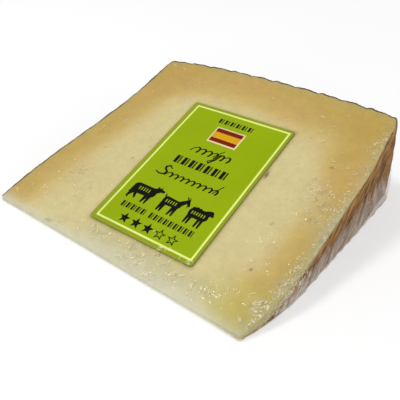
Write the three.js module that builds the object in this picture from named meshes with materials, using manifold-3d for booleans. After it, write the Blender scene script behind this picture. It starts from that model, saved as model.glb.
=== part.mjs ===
// A wedge of aged cheese in tight clear film, with a paper label on its upper cut face.
// Millimetres, +Z up. The wedge lies on one cut face, its thin tip towards -Y and the rim towards +Y.
// X runs along the axis of the wheel that the wedge was cut from.

import * as THREE from 'three';
import { mergeVertices } from 'three/addons/utils/BufferGeometryUtils.js';
import Module from 'manifold-3d';

// The wheel's bulging rim, a curve between two shoulders that two handles pull outwards
const RIM_SHOULDER_LEFT = { radius: 98.0, x: 9.0 };
const RIM_HANDLE_LEFT = { radius: 103.6, x: 24.0 };
const RIM_HANDLE_RIGHT = { radius: 105.0, x: 79.8 };
const RIM_SHOULDER_RIGHT = { radius: 100.4, x: 107.8 };
const CORNER_HANDLE_LEFT = 96.8;
const CORNER_HANDLE_RIGHT = 99.6;
const CORNER_START = 93;

// The left flat face, which leans inwards between two distances from the wheel's axis
const LEFT_FACE_X = -0.8;
const LEFT_FACE_LEAN = 8.8;
const LEFT_LEAN_FROM = 8;
const LEFT_LEAN_TO = 82;

// The right flat face, which is set back towards the tip and a little towards the rim
const RIGHT_FACE_X = 111.8;
const RIGHT_TIP_SET_BACK = 6.3;
const RIGHT_TIP_LENGTH = 35;
const RIGHT_RIM_SET_BACK = 1.8;
const RIGHT_RIM_FROM = 70;
const RIGHT_RIM_TO = 96;

// The cut, and the rounding that the film gives its thin tip
const WEDGE_ANGLE = THREE.MathUtils.degToRad(18.7);
const TIP_RADIUS = 1.0;
const TIP_CORNER = 1.6;
const CUT_REACH = 130;
const CUT_MARGIN = 10;

// The woven-grass band pressed into the rim: rows of slanting strands, each row a lopsided hump
const ROW_WIDTH = 9.8;
const ROW_START = 8.4;
const ROW_DEPTH = 0.6;
const ROW_RISE = 0.22;
const ROW_FALL = 0.6;
const ROW_CREST = 1.25;
const STRAND_PITCH = 6.5;
const STRAND_SHARE = 0.28;

// The film gathered over the lower half of both flat faces; tops are shares of the wedge angle
const PLEAT_PITCH = 6.4;
const PLEAT_DEPTH = 0.45;
const PLEAT_SLANT = 0.45;
const PLEAT_SWAY = 1.6;
const PLEAT_SWAY_LENGTH = 9;
const PLEAT_TOP = 0.62;
const PLEAT_FULL_TO = 0.1;
const PLEAT_START = 14;
const PLEAT_FULL_FROM = 30;

// Where one relief gives way to the other, and how far past the cut they run, in wedge angles
const PLEATS_END = 95;
const ROWS_START = 99.3;
const RELIEF_FULL_PAST = 0.2;
const RELIEF_GONE_PAST = 0.6;

// The label
const LABEL_WIDTH = 44;
const LABEL_HEIGHT = 63.6;
const LABEL_THICKNESS = 0.4;
const LABEL_CORNER = 1.0;
const LABEL_GAP = 0.3;
const LABEL_TURN = THREE.MathUtils.degToRad(1.4);
const LABEL_X = 38.2;
const LABEL_UP_SLOPE = 15.5;

// Fineness of the curves
const SEGMENTS = 462;
const TIP_STEP = 0.7;
const FACE_STEP = 2.3;
const CORNER_STEPS = 4;
const RIM_STEPS = 84;
const TIP_ARC_STEPS = 6;
const LABEL_ARC_STEPS = 3;
const MERGE_DISTANCE = 1e-4;

const wasm = await Module();
wasm.setup();

function smoothStep(low, high, value) {
  const t = THREE.MathUtils.clamp((value - low) / (high - low), 0, 1);
  return t * t * (3 - 2 * t);
}

// Distance from the wheel's axis to the front of the rounded tip
const TIP_FRONT = TIP_RADIUS / Math.tan(WEDGE_ANGLE / 2) - TIP_RADIUS;

// How far a flat face is set back at the thin end, where the tip's corner is rounded
function cornerSetBack(radius) {
  const short = THREE.MathUtils.clamp(TIP_FRONT + TIP_CORNER - radius, 0, TIP_CORNER);
  return TIP_CORNER - Math.sqrt(TIP_CORNER ** 2 - short ** 2);
}

function leftFaceX(radius) {
  const lean = LEFT_FACE_LEAN * smoothStep(LEFT_LEAN_FROM, LEFT_LEAN_TO, radius);
  return LEFT_FACE_X + lean + cornerSetBack(radius);
}

function rightFaceX(radius) {
  const tip = RIGHT_TIP_SET_BACK * (1 - Math.min(radius / RIGHT_TIP_LENGTH, 1)) ** 2;
  const rim = RIGHT_RIM_SET_BACK * smoothStep(RIGHT_RIM_FROM, RIGHT_RIM_TO, radius);
  return RIGHT_FACE_X - tip - rim - cornerSetBack(radius);
}

// Distances from the axis at which the flat faces have points, close together at the rounded tip
function faceRadii() {
  const radii = [0];
  const tipEnd = TIP_FRONT + TIP_CORNER;
  for (let r = TIP_FRONT - TIP_STEP / 2; r < tipEnd; r += TIP_STEP) {
    radii.push(r);
  }
  const steps = Math.ceil((CORNER_START - tipEnd) / FACE_STEP);
  for (let i = 1; i <= steps; i += 1) {
    radii.push(tipEnd + ((CORNER_START - tipEnd) * i) / steps);
  }
  return radii;
}

// A point of the wheel's half outline: x is the distance from its axis and y runs along the axis
function outlinePoint({ radius, x }) {
  return new THREE.Vector2(radius, x);
}

function cornerPoints(start, handle, end) {
  return new THREE.QuadraticBezierCurve(start, handle, end).getPoints(CORNER_STEPS).slice(1, -1);
}

function wheelOutline() {
  const radii = faceRadii();
  const left = radii.map((r) => new THREE.Vector2(r, leftFaceX(r)));
  const right = radii.map((r) => new THREE.Vector2(r, rightFaceX(r))).reverse();
  const rim = new THREE.CubicBezierCurve(
    outlinePoint(RIM_SHOULDER_LEFT),
    outlinePoint(RIM_HANDLE_LEFT),
    outlinePoint(RIM_HANDLE_RIGHT),
    outlinePoint(RIM_SHOULDER_RIGHT),
  ).getSpacedPoints(RIM_STEPS);

  const leftEnd = left.at(-1);
  const rightEnd = right[0];
  const leftCorner = cornerPoints(leftEnd, new THREE.Vector2(CORNER_HANDLE_LEFT, leftEnd.y), rim[0]);
  const rightCorner = cornerPoints(rim.at(-1), new THREE.Vector2(CORNER_HANDLE_RIGHT, rightEnd.y), rightEnd);
  return [...left, ...leftCorner, ...rim, ...rightCorner, ...right];
}

// Depth of the woven band below its highest strands, at a place on the rim
function plaitDepth(x, arc) {
  const row = (x - ROW_START) / ROW_WIDTH;
  const across = row - Math.floor(row);
  const hump = smoothStep(0, ROW_RISE, across) * (1 - across) ** ROW_FALL * ROW_CREST;
  const lean = Math.floor(row) % 2 === 0 ? 1 : -1;
  const strand = Math.cos((2 * Math.PI * (arc + lean * across * ROW_WIDTH)) / STRAND_PITCH);
  return ROW_DEPTH * (1 - hump * (1 - STRAND_SHARE + STRAND_SHARE * strand));
}

// Depth between two film pleats, at a place on a flat face; share is 0 at the base and 1 at the upper cut
function pleatDepth(radius, arc, share) {
  const along = radius + PLEAT_SWAY * Math.sin(radius / PLEAT_SWAY_LENGTH) - PLEAT_SLANT * arc;
  const ridge = Math.abs(Math.sin((Math.PI * along) / PLEAT_PITCH));
  const upwards = smoothStep(PLEAT_TOP, PLEAT_FULL_TO, share);
  const outwards = smoothStep(PLEAT_START, PLEAT_FULL_FROM, radius);
  return PLEAT_DEPTH * ridge * upwards * outwards;
}

// The lathe turns round Y, so this lays its axis along X, with the start of the wedge at +Y
function wheelGeometry() {
  const halfSegment = Math.PI / SEGMENTS;
  const geometry = new THREE.LatheGeometry(wheelOutline(), SEGMENTS, halfSegment);
  geometry.rotateZ(-Math.PI / 2);
  const position = geometry.attributes.position;
  const middleX = (LEFT_FACE_X + RIGHT_FACE_X) / 2;
  for (let i = 0; i < position.count; i += 1) {
    const x = position.getX(i);
    const y = position.getY(i);
    const z = position.getZ(i);
    const radius = Math.hypot(y, z);
    const angle = Math.atan2(z, y);
    const share = angle / WEDGE_ANGLE;
    const before = smoothStep(-RELIEF_GONE_PAST, -RELIEF_FULL_PAST, share);
    const after = smoothStep(1 + RELIEF_GONE_PAST, 1 + RELIEF_FULL_PAST, share);
    const kept = before * after;
    if (kept > 0 && radius > 0) {
      const onRim = smoothStep(PLEATS_END, ROWS_START, radius);
      const sunk = plaitDepth(x, radius * angle) * onRim * kept;
      const inward = pleatDepth(radius, radius * angle, share) * (1 - onRim) * kept;
      const scale = (radius - sunk) / radius;
      position.setXYZ(i, x - Math.sign(x - middleX) * inward, y * scale, z * scale);
    }
  }
  return geometry;
}

// Section of the cut: two planes that meet in a rounded tip, drawn in Y and Z
function cutGeometry() {
  const tipCentreY = TIP_RADIUS / Math.tan(WEDGE_ANGLE / 2);
  const section = new THREE.Shape();
  section.moveTo(tipCentreY, 0);
  section.lineTo(CUT_REACH, 0);
  section.lineTo(CUT_REACH * Math.cos(WEDGE_ANGLE), CUT_REACH * Math.sin(WEDGE_ANGLE));
  section.lineTo(tipCentreY * Math.cos(WEDGE_ANGLE), tipCentreY * Math.sin(WEDGE_ANGLE));
  section.absarc(tipCentreY, TIP_RADIUS, TIP_RADIUS, Math.PI / 2 + WEDGE_ANGLE, (3 * Math.PI) / 2);
  const geometry = new THREE.ExtrudeGeometry(section, {
    depth: RIGHT_FACE_X - LEFT_FACE_X + 2 * CUT_MARGIN,
    bevelEnabled: false,
    curveSegments: TIP_ARC_STEPS,
  });
  const yAxis = new THREE.Vector3(0, 1, 0);
  const zAxis = new THREE.Vector3(0, 0, 1);
  const xAxis = new THREE.Vector3(1, 0, 0);
  geometry.applyMatrix4(new THREE.Matrix4().makeBasis(yAxis, zAxis, xAxis));
  geometry.translate(LEFT_FACE_X - CUT_MARGIN, 0, 0);
  return geometry;
}

function toSolid(geometry) {
  const bare = geometry.clone();
  bare.deleteAttribute('normal');
  bare.deleteAttribute('uv');
  const merged = mergeVertices(bare, MERGE_DISTANCE);
  return new wasm.Manifold(
    new wasm.Mesh({
      numProp: 3,
      vertProperties: new Float32Array(merged.attributes.position.array),
      triVerts: new Uint32Array(merged.index.array),
    }),
  );
}

function toGeometry(solid) {
  const mesh = solid.getMesh();
  const geometry = new THREE.BufferGeometry();
  geometry.setAttribute('position', new THREE.BufferAttribute(mesh.vertProperties, 3));
  geometry.setIndex(new THREE.BufferAttribute(mesh.triVerts, 1));
  geometry.computeVertexNormals();
  return geometry;
}

function labelGeometry() {
  const w = LABEL_WIDTH;
  const h = LABEL_HEIGHT;
  const c = LABEL_CORNER;
  const outline = new THREE.Shape();
  outline.moveTo(c, 0);
  outline.lineTo(w - c, 0);
  outline.absarc(w - c, c, c, -Math.PI / 2, 0);
  outline.lineTo(w, h - c);
  outline.absarc(w - c, h - c, c, 0, Math.PI / 2);
  outline.lineTo(c, h);
  outline.absarc(c, h - c, c, Math.PI / 2, Math.PI);
  outline.lineTo(0, c);
  outline.absarc(c, c, c, Math.PI, (3 * Math.PI) / 2);
  return new THREE.ExtrudeGeometry(outline, {
    depth: LABEL_THICKNESS,
    bevelEnabled: false,
    curveSegments: LABEL_ARC_STEPS,
  });
}

const wedge = new THREE.Mesh(
  toGeometry(toSolid(wheelGeometry()).intersect(toSolid(cutGeometry()))),
  new THREE.MeshStandardMaterial({ color: 0xd4c792, roughness: 0.35, metalness: 0 }),
);
wedge.name = 'wrapped_wedge';

const label = new THREE.Mesh(
  labelGeometry(),
  new THREE.MeshStandardMaterial({ color: 0x95ad14, roughness: 0.4, metalness: 0 }),
);
label.name = 'label';
label.position.set(LABEL_X, LABEL_UP_SLOPE, LABEL_GAP);
label.rotation.z = LABEL_TURN;

const upperCut = new THREE.Group();
upperCut.rotation.x = WEDGE_ANGLE;
upperCut.add(label);

// The origin is under the middle of the wedge's box, on the face that it lies on
wedge.geometry.computeBoundingBox();
const middle = wedge.geometry.boundingBox.getCenter(new THREE.Vector3());
const content = new THREE.Group();
content.add(wedge, upperCut);
content.position.set(-middle.x, -middle.y, -wedge.geometry.boundingBox.min.z);

const part = new THREE.Group();
part.add(content);

export default part;
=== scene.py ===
"""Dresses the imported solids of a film-wrapped cheese wedge: paste, rind, film, label and print.

The wheel that the wedge was cut from has its axis along X. A place on the wedge is given by x along
that axis, by its radius from the axis, and by an angle up from the lower cut face. Lengths are
millimetres, as in the part's own drawing, and every mesh is written in metres.
"""

import logging
import math
from dataclasses import dataclass
from enum import Enum
from typing import Callable, Sequence

import bpy
import numpy as np
from mathutils import Matrix, Vector
from mathutils.geometry import delaunay_2d_cdt


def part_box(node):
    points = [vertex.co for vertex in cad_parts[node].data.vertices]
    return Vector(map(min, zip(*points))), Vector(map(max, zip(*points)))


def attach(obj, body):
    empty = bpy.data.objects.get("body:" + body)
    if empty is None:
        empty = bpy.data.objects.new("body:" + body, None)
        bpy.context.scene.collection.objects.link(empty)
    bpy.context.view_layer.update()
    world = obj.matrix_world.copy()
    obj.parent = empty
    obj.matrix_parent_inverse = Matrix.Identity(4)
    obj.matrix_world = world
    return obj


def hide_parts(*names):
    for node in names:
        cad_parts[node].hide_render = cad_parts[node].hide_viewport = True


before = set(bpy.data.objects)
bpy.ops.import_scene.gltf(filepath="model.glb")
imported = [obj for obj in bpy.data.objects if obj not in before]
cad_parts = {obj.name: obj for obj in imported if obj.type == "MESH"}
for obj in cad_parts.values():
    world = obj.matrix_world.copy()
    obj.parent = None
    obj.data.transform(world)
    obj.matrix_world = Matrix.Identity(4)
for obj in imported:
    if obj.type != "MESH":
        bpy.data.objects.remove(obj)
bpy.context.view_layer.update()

MM = 0.001
BODY = "root"
SHARP_TURN = math.radians(120)
Array = np.ndarray
Colour = tuple[float, float, float]
Disc = tuple[float, float, float]
Box = tuple[float, float, float, float]
Outline = list[tuple[float, float]]
Socket = bpy.types.NodeSocket
FLAT_POINTS = 400
CORNER_POINTS = 40
DISC_POINTS = 16
SLIT_WIDTH = 0.42
TINY = 1e-9

log = logging.getLogger("wedge")


class Slot(Enum):
    """Material slots of the record."""

    PASTE = "cheese_paste"
    RIND = "rind"
    FILM = "clear_film"
    LABEL = "label_face"
    PRINT = "label_print"


def linear(red: int, green: int, blue: int) -> Colour:
    """Turns a screen colour into the linear colour that shaders take.

    Args:
        red: Red from 0 to 255.
        green: Green from 0 to 255.
        blue: Blue from 0 to 255.

    Returns:
        The three linear values from 0 to 1.
    """
    shares = (red / 255, green / 255, blue / 255)
    return tuple(s / 12.92 if s <= 0.04045 else ((s + 0.055) / 1.055) ** 2.4 for s in shares)


def smooth(low: float, high: float, value: Array) -> Array:
    """Eases from 0 at low to 1 at high, in either direction."""
    t = np.clip((value - low) / (high - low), 0, 1)
    return t * t * (3 - 2 * t)


def blend(first: Array, second: Array, share: Array) -> Array:
    """Mixes two arrays, all first at share 0 and all second at 1."""
    return first * (1 - share) + second * share


@dataclass(frozen=True)
class Mottle:
    """A smooth random field with a fixed seed, from about -1 to 1."""

    seed: int
    cells: int = 24

    def at(self, places: Array, size: float, octaves: int = 2) -> Array:
        """Reads the field.

        Args:
            places: Points, one a row, with three numbers each.
            size: Width of one blotch, in the unit of the points.
            octaves: How many layers there are, each half as wide as the one before.

        Returns:
            One value a point.
        """
        lattice = np.random.default_rng(self.seed).uniform(-1, 1, (self.cells,) * 3)
        total = np.zeros(len(places))
        for octave in range(octaves):
            scaled = places / size * 2**octave + 17.3 * octave
            whole = np.floor(scaled).astype(int)
            part = scaled - whole
            part = part * part * (3 - 2 * part)
            for corner in np.ndindex(2, 2, 2):
                share = np.prod(np.where(np.array(corner) == 1, part, 1 - part), axis=1)
                index = (whole + corner) % self.cells
                total += 0.5**octave * share * lattice[index[:, 0], index[:, 1], index[:, 2]]
        return total * 1.4

    def ridges(self, places: Array, size: float, octaves: int = 2) -> Array:
        """Reads the field as sharp creases, from 0 on the flats to 1 on a crease."""
        return np.clip(1 - 3.2 * np.abs(self.at(places, size, octaves)), 0, 1)


@dataclass(frozen=True)
class RimPoint:
    """A point of the rim's outline: its distance from the wheel's axis and its place along it."""

    radius: float
    x: float


@dataclass(frozen=True)
class WedgeForm:
    """Outer form of the wrapped wedge, with the sizes of the part's own drawing.

    The photo shows three forms that differ from the drawing, and they are as the photo has them: the woven
    band's row_depth, which the drawing has at 0.6; the back right corner, which is rounder by its
    handle_right, shoulder_right, corner_handle_right and right_rim_set_back; and the left face's waves.
    """

    angle: float = math.radians(18.7)
    tip_radius: float = 1.0
    tip_corner: float = 1.6
    shoulder_left: RimPoint = RimPoint(98.0, 9.0)
    handle_left: RimPoint = RimPoint(103.6, 24.0)
    handle_right: RimPoint = RimPoint(104.8, 79.8)
    shoulder_right: RimPoint = RimPoint(102.0, 106.8)
    corner_handle_left: float = 96.8
    corner_handle_right: float = 101.3
    corner_start: float = 93.0
    left_x: float = -0.8
    left_lean: float = 8.8
    left_lean_from: float = 8.0
    left_lean_to: float = 82.0
    left_wave: float = 0.13
    right_x: float = 111.8
    right_tip_set_back: float = 6.3
    right_tip_length: float = 35.0
    right_rim_set_back: float = 1.7
    right_rim_from: float = 70.0
    right_rim_to: float = 96.0
    row_width: float = 9.8
    row_start: float = 8.4
    row_depth: float = 0.85
    row_rise: float = 0.22
    row_fall: float = 0.6
    row_crest: float = 1.25
    strand_pitch: float = 6.5
    strand_share: float = 0.28
    pleat_pitch: float = 6.4
    pleat_depth: float = 0.45
    pleat_slant: float = 0.45
    pleat_sway: float = 1.6
    pleat_sway_length: float = 9.0
    pleat_top: float = 0.62
    pleat_full_to: float = 0.1
    pleat_start: float = 14.0
    pleat_full_from: float = 30.0
    pleats_end: float = 95.0
    rows_start: float = 99.3

    @property
    def tip_middle(self) -> float:
        """Distance from the wheel's axis to the middle of the rounded tip."""
        return self.tip_radius / math.tan(self.angle / 2)

    @property
    def tip_front(self) -> float:
        """Distance from the wheel's axis to the front of the rounded tip."""
        return self.tip_middle - self.tip_radius

    @property
    def axis_place(self) -> Array:
        """Where x 0 of the wheel's axis lies in the frame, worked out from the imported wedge's box."""
        low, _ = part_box("wrapped_wedge")
        return np.array([low.x / MM - self.left_x, low.y / MM - self.tip_front, low.z / MM])

    def corner_set_back(self, radius: Array) -> Array:
        """How far a flat face is set back where the tip's corner is rounded."""
        short = np.clip(self.tip_front + self.tip_corner - radius, 0, self.tip_corner)
        return self.tip_corner - np.sqrt(self.tip_corner**2 - short**2)

    def left(self, radius: Array) -> Array:
        """x of the left flat face at a distance from the wheel's axis."""
        lean = self.left_lean * smooth(self.left_lean_from, self.left_lean_to, radius)
        wave = self.left_wave * (1 + np.sin(radius / 1.3) * np.sin(radius / 3.7 + 1)) * smooth(8, 20, radius)
        return self.left_x + lean + wave + self.corner_set_back(radius)

    def right(self, radius: Array) -> Array:
        """Finds the right flat face.

        Args:
            radius: Distances from the wheel's axis.

        Returns:
            x of the face at each of them.
        """
        tip = self.right_tip_set_back * (1 - np.minimum(radius / self.right_tip_length, 1)) ** 2
        rim = self.right_rim_set_back * smooth(self.right_rim_from, self.right_rim_to, radius)
        return self.right_x - tip - rim - self.corner_set_back(radius)

    def rows(self, x: Array) -> tuple[Array, Array]:
        """Finds the rows of the woven band.

        Args:
            x: Places along the wheel's axis.

        Returns:
            The share of the way across a row, and which way the row's strands lean, 1 or -1.
        """
        row = (x - self.row_start) / self.row_width
        return row - np.floor(row), np.where(np.floor(row) % 2 == 0, 1, -1)

    def plait_depth(self, x: Array, arc: Array) -> Array:
        """How deep the woven band lies below its highest strands.

        Args:
            x: Places along the wheel's axis.
            arc: Heights along the rim.

        Returns:
            The depth at each place.
        """
        across, lean = self.rows(x)
        hump = smooth(0, self.row_rise, across) * (1 - across) ** self.row_fall * self.row_crest
        strand = np.cos(2 * np.pi * (arc + lean * across * self.row_width) / self.strand_pitch)
        return self.row_depth * (1 - hump * (1 - self.strand_share + self.strand_share * strand))

    def pleats_shown(self, radius: Array, share: Array) -> Array:
        """How strongly the film is gathered, from 0 to 1; share is 0 at the base and 1 at the top."""
        upwards = smooth(self.pleat_top, self.pleat_full_to, share)
        return upwards * smooth(self.pleat_start, self.pleat_full_from, radius)

    def pleat_phase(self, radius: Array, arc: Array) -> Array:
        """Place across the slanting pleats of a flat face, one pleat for each whole number."""
        along = radius + self.pleat_sway * np.sin(radius / self.pleat_sway_length)
        return (along - self.pleat_slant * arc) / self.pleat_pitch

    def on_rim(self, radius: Array) -> Array:
        """1 on the rim and 0 on the flat faces."""
        return smooth(self.pleats_end, self.rows_start, radius)

    def rim_outline(self) -> Array:
        """Half outline of the wheel outside the tip, from the left face round the rim to the right face.

        Returns:
            Points as rows of x and radius, close enough together to be resampled.
        """
        radii = np.linspace(self.tip_middle, self.corner_start, FLAT_POINTS)
        left = np.stack([self.left(radii), radii], 1)
        right = np.stack([self.right(radii), radii], 1)[::-1]
        handles = (self.shoulder_left, self.handle_left, self.handle_right, self.shoulder_right)
        rim = bezier([(p.x, p.radius) for p in handles], FLAT_POINTS)
        left_corner = bezier([left[-1], (left[-1, 0], self.corner_handle_left), rim[0]], CORNER_POINTS)
        right_corner = bezier([rim[-1], (right[0, 0], self.corner_handle_right), right[0]], CORNER_POINTS)
        return np.concatenate([left, left_corner[1:-1], rim, right_corner[1:-1], right])

    def rim_radius(self, x: Array) -> Array:
        """Finds the rim.

        Args:
            x: Places along the wheel's axis.

        Returns:
            The rim's distance from the axis at each of them.
        """
        outline = self.rim_outline()
        rim = outline[outline[:, 1] > self.corner_start]
        return np.interp(x, rim[:, 0], rim[:, 1])


def bezier(handles: Sequence[Sequence[float]], count: int) -> Array:
    """Points of a Bezier curve.

    Args:
        handles: Its end points with the handles between them, 3 or 4 in all.
        count: How many points it gets.

    Returns:
        The points, one a row.
    """
    points = [np.asarray(h, float) for h in handles]
    t = np.linspace(0, 1, count)[:, None]
    while len(points) > 1:
        points = [a * (1 - t) + b * t for a, b in zip(points, points[1:])]
    return points[0]


def along_path(path: Array, shares: Array) -> Array:
    """Points at given shares of a path's length.

    Args:
        path: The path's points, one a row.
        shares: Shares from 0 at its start to 1 at its end.

    Returns:
        One point a share.
    """
    steps = np.linalg.norm(np.diff(path, axis=0), axis=1)
    length = np.concatenate([[0], np.cumsum(steps)])
    return np.stack([np.interp(shares * length[-1], length, path[:, i]) for i in range(2)], 1)


def inset_path(path: Array, inset: float) -> Array:
    """Moves a path that runs clockwise round the cut face inwards.

    Args:
        path: The path's points, one a row.
        inset: How far it moves.

    Returns:
        The moved points.
    """
    tangent = np.gradient(path, axis=0)
    tangent /= np.linalg.norm(tangent, axis=1)[:, None]
    return path + inset * np.stack([tangent[:, 1], -tangent[:, 0]], 1)


def spaced(count: int, pull: float) -> Array:
    """Shares from 0 to 1 that lie closer together at both ends; pull is 0 for even steps."""
    t = np.linspace(0, 1, count + 1)
    return t - pull * np.sin(2 * np.pi * t) / (2 * np.pi)


@dataclass
class Surface:
    """Points and faces of one mesh, in the wheel's own place, with a value of each kind a point."""

    points: Array
    faces: list[tuple[int, ...]]
    values: dict[str, Array]

    def polar(self) -> tuple[Array, Array, Array]:
        """x, distance from the wheel's axis and angle of each point."""
        x, y, z = self.points.T
        return x, np.hypot(y, z), np.arctan2(z, y)

    def normals(self) -> Array:
        """Works out the outward direction at each point, from the faces round it.

        Returns:
            Unit vectors, one a row.
        """
        total = np.zeros_like(self.points)
        for count in sorted({len(f) for f in self.faces}):
            faces = np.array([f for f in self.faces if len(f) == count])
            corner = self.points[faces]
            across = np.cross(corner[:, 2] - corner[:, 0], corner[:, -1] - corner[:, 1])
            if count == 3:
                across = np.cross(corner[:, 1] - corner[:, 0], corner[:, 2] - corner[:, 0])
            for i in range(count):
                np.add.at(total, faces[:, i], across)
        return total / np.maximum(np.linalg.norm(total, axis=1), 1e-12)[:, None]

    def relax(self, weight: Array, rounds: int) -> None:
        """Rounds off edges by moving points towards the middle of their neighbours.

        Args:
            weight: How far each point moves, from 0 to 1.
            rounds: How often they move.
        """
        pairs = np.array([(a, b) for f in self.faces for a, b in zip(f, f[1:] + f[:1])])
        count = np.bincount(pairs[:, 0], minlength=len(self.points))[:, None]
        for _ in range(rounds):
            total = np.zeros_like(self.points)
            for axis in range(3):
                near = self.points[pairs[:, 1], axis]
                total[:, axis] = np.bincount(pairs[:, 0], near, minlength=len(self.points))
            self.points += weight[:, None] * (total / count - self.points)

    def make(self, name: str, place: Array, finish: "Finish", slot: Slot) -> bpy.types.Object:
        """Writes the surface as a Blender object that rides on the part.

        Args:
            name: Name of the piece.
            place: Where the surface's own origin lies in the frame, in millimetres.
            finish: What its surface is.
            slot: The record's material slot; it is not used.

        Returns:
            The new object.
        """
        mesh = bpy.data.meshes.new(name)
        mesh.from_pydata(((self.points + place) * MM).tolist(), [], self.faces)
        for key, value in self.values.items():
            kept = mesh.attributes.new(key, "FLOAT", "POINT")
            kept.data.foreach_set("value", value.astype(np.float32))
        mesh.shade_smooth()
        mesh.set_sharp_from_angle(angle=SHARP_TURN)
        mesh.update()
        piece = bpy.data.objects.new(name, mesh)
        bpy.context.scene.collection.objects.link(piece)
        mesh.materials.append(finish.material())
        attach(piece, BODY)
        log.info("%s: %d points, %d faces", name, len(self.points), len(self.faces))
        return piece


@dataclass(frozen=True)
class Shell:
    """A closed shell that runs inside the wedge's outer form at one distance or another."""

    form: WedgeForm
    side_inset: float
    cut_inset: float
    across: int
    along: int
    layers: int
    pull: float = 0.45
    nose_reach: float = 3.2

    def edges(self) -> tuple[Array, Array, Array, Array]:
        """Finds the edges of the upper cut face.

        Returns:
            Its tip, right, rim and left edge, each as rows of x and radius.
        """
        path = inset_path(self.form.rim_outline(), self.side_inset)
        corner_left = FLAT_POINTS + CORNER_POINTS // 2 - 1
        corner_right = len(path) - corner_left
        s = spaced(self.across, self.pull)
        t = spaced(self.along, self.pull)
        left = along_path(path[: corner_left + 1], t)
        rim = along_path(path[corner_left : corner_right + 1], s)
        right = along_path(path[corner_right:][::-1], t)
        tip = blend(left[0], right[0], s[:, None])
        return tip, right, rim, left

    def face_grid(self) -> Array:
        """Lays a grid over the cut face.

        Returns:
            x and radius of its points, with the across count first.
        """
        tip, right, rim, left = self.edges()
        s = spaced(self.across, self.pull)[:, None, None]
        t = spaced(self.along, self.pull)[None, :, None]
        sides = blend(left[None, :], right[None, :], s) + blend(tip[:, None], rim[:, None], t)
        ends = blend(blend(tip[0], tip[-1], s), blend(rim[0], rim[-1], s), t)
        return sides - ends

    def section(self, radius: Array, q: Array) -> Array:
        """Place in the section across the wedge, as y and z.

        Args:
            radius: Distance from the wheel's axis.
            q: Share of the way down from the upper cut face to the lower one.

        Returns:
            Rows of y and z.
        """
        angle = self.form.angle
        theta = angle * (1 - q)
        y = radius * np.cos(theta) + self.cut_inset * (1 - q) * math.sin(angle)
        z = radius * np.sin(theta) + self.cut_inset * (q - (1 - q) * math.cos(angle))
        return np.stack([y, z], -1)

    def nose(self, radius: Array, q: Array) -> Array:
        """Place on the rounded tip, as y and z, moved back where the radius is larger.

        Args:
            radius: Distance from the wheel's axis.
            q: Share of the way down round the tip.

        Returns:
            Rows of y and z.
        """
        form = self.form
        turn = math.pi / 2 + form.angle + q * (math.pi - form.angle)
        small = form.tip_radius - self.cut_inset
        back = radius - form.tip_middle
        y = form.tip_middle + small * np.cos(turn) + back * np.cos(form.angle / 2)
        z = form.tip_radius + small * np.sin(turn) + back * np.sin(form.angle / 2)
        return np.stack([y, z], -1)

    def build(self) -> Surface:
        """Makes the closed shell.

        Returns:
            The surface, whose values give each point's way down (q), its place across (s), and
            whether it lies on a cut face (cut) or on the wall between them.
        """
        form = self.form
        n, m = self.across, self.along
        grid = self.face_grid()
        s_grid = np.repeat(spaced(n, self.pull), m + 1)
        flat = grid.reshape(-1, 2)
        top = np.column_stack([flat[:, 0], self.section(flat[:, 1], np.zeros(len(flat)))])
        base = np.column_stack([flat[:, 0], self.section(flat[:, 1], np.ones(len(flat)))])

        def index(i: int, j: int) -> int:
            """Number of a point of the cut face's grid."""
            return i * (m + 1) + j

        loop = [index(i, 0) for i in range(n)]
        loop += [index(n, j) for j in range(m)]
        loop += [index(i, m) for i in range(n, 0, -1)]
        loop += [index(0, j) for j in range(m, 0, -1)]
        x_loop, r_loop, s_loop = flat[loop, 0], flat[loop, 1], s_grid[loop]
        nose_share = smooth(form.tip_middle + self.nose_reach, form.tip_middle, r_loop)
        columns = []
        for layer in range(1, self.layers):
            q = np.full(len(loop), spaced(self.layers, self.pull)[layer])
            place = blend(self.section(r_loop, q), self.nose(r_loop, q), nose_share[:, None])
            reach = np.hypot(place[:, 0], place[:, 1])
            back = form.corner_set_back(reach) - form.corner_set_back(r_loop)
            columns.append(np.column_stack([x_loop + (1 - 2 * s_loop) * back, place]))

        even = [index(i, j) for i in range(0, n + 1, 2) for j in range(0, m + 1, 2)]
        kept = sorted(set(even) | set(loop))
        base_index = {old: len(top) + new for new, old in enumerate(kept)}
        wall_start = len(top) + len(kept)
        points = np.concatenate([top, base[kept], *columns])

        faces = [
            (index(i, j), index(i + 1, j), index(i + 1, j + 1), index(i, j + 1))
            for i in range(n) for j in range(m)
        ]
        for i in range(0, n, 2):
            for j in range(0, m, 2):
                ring = [index(i, j)]
                ring += [index(i, j + 1)] if i == 0 else []
                ring += [index(i, j + 2)]
                ring += [index(i + 1, j + 2)] if j + 2 == m else []
                ring += [index(i + 2, j + 2)]
                ring += [index(i + 2, j + 1)] if i + 2 == n else []
                ring += [index(i + 2, j)]
                ring += [index(i + 1, j)] if j == 0 else []
                faces.append(tuple(base_index[k] for k in ring))
        count = len(loop)
        rows = [loop]
        rows += [[wall_start + layer * count + k for k in range(count)] for layer in range(self.layers - 1)]
        rows += [[base_index[k] for k in loop]]
        for upper, lower in zip(rows, rows[1:]):
            for k in range(count):
                after = (k + 1) % count
                faces.append((upper[k], lower[k], lower[after], upper[after]))

        q_wall = np.repeat(spaced(self.layers, self.pull)[1:-1], count)
        values = {
            "q": np.concatenate([np.zeros(len(top)), np.ones(len(kept)), q_wall]),
            "s": np.concatenate([s_grid, s_grid[kept], np.tile(s_loop, self.layers - 1)]),
            "cut": np.concatenate([np.ones(len(top) + len(kept)), np.zeros(len(q_wall))]),
        }
        values["cut"][loop] = 0
        values["cut"][[base_index[k] for k in loop]] = 0
        return Surface(points, faces, values)


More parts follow.
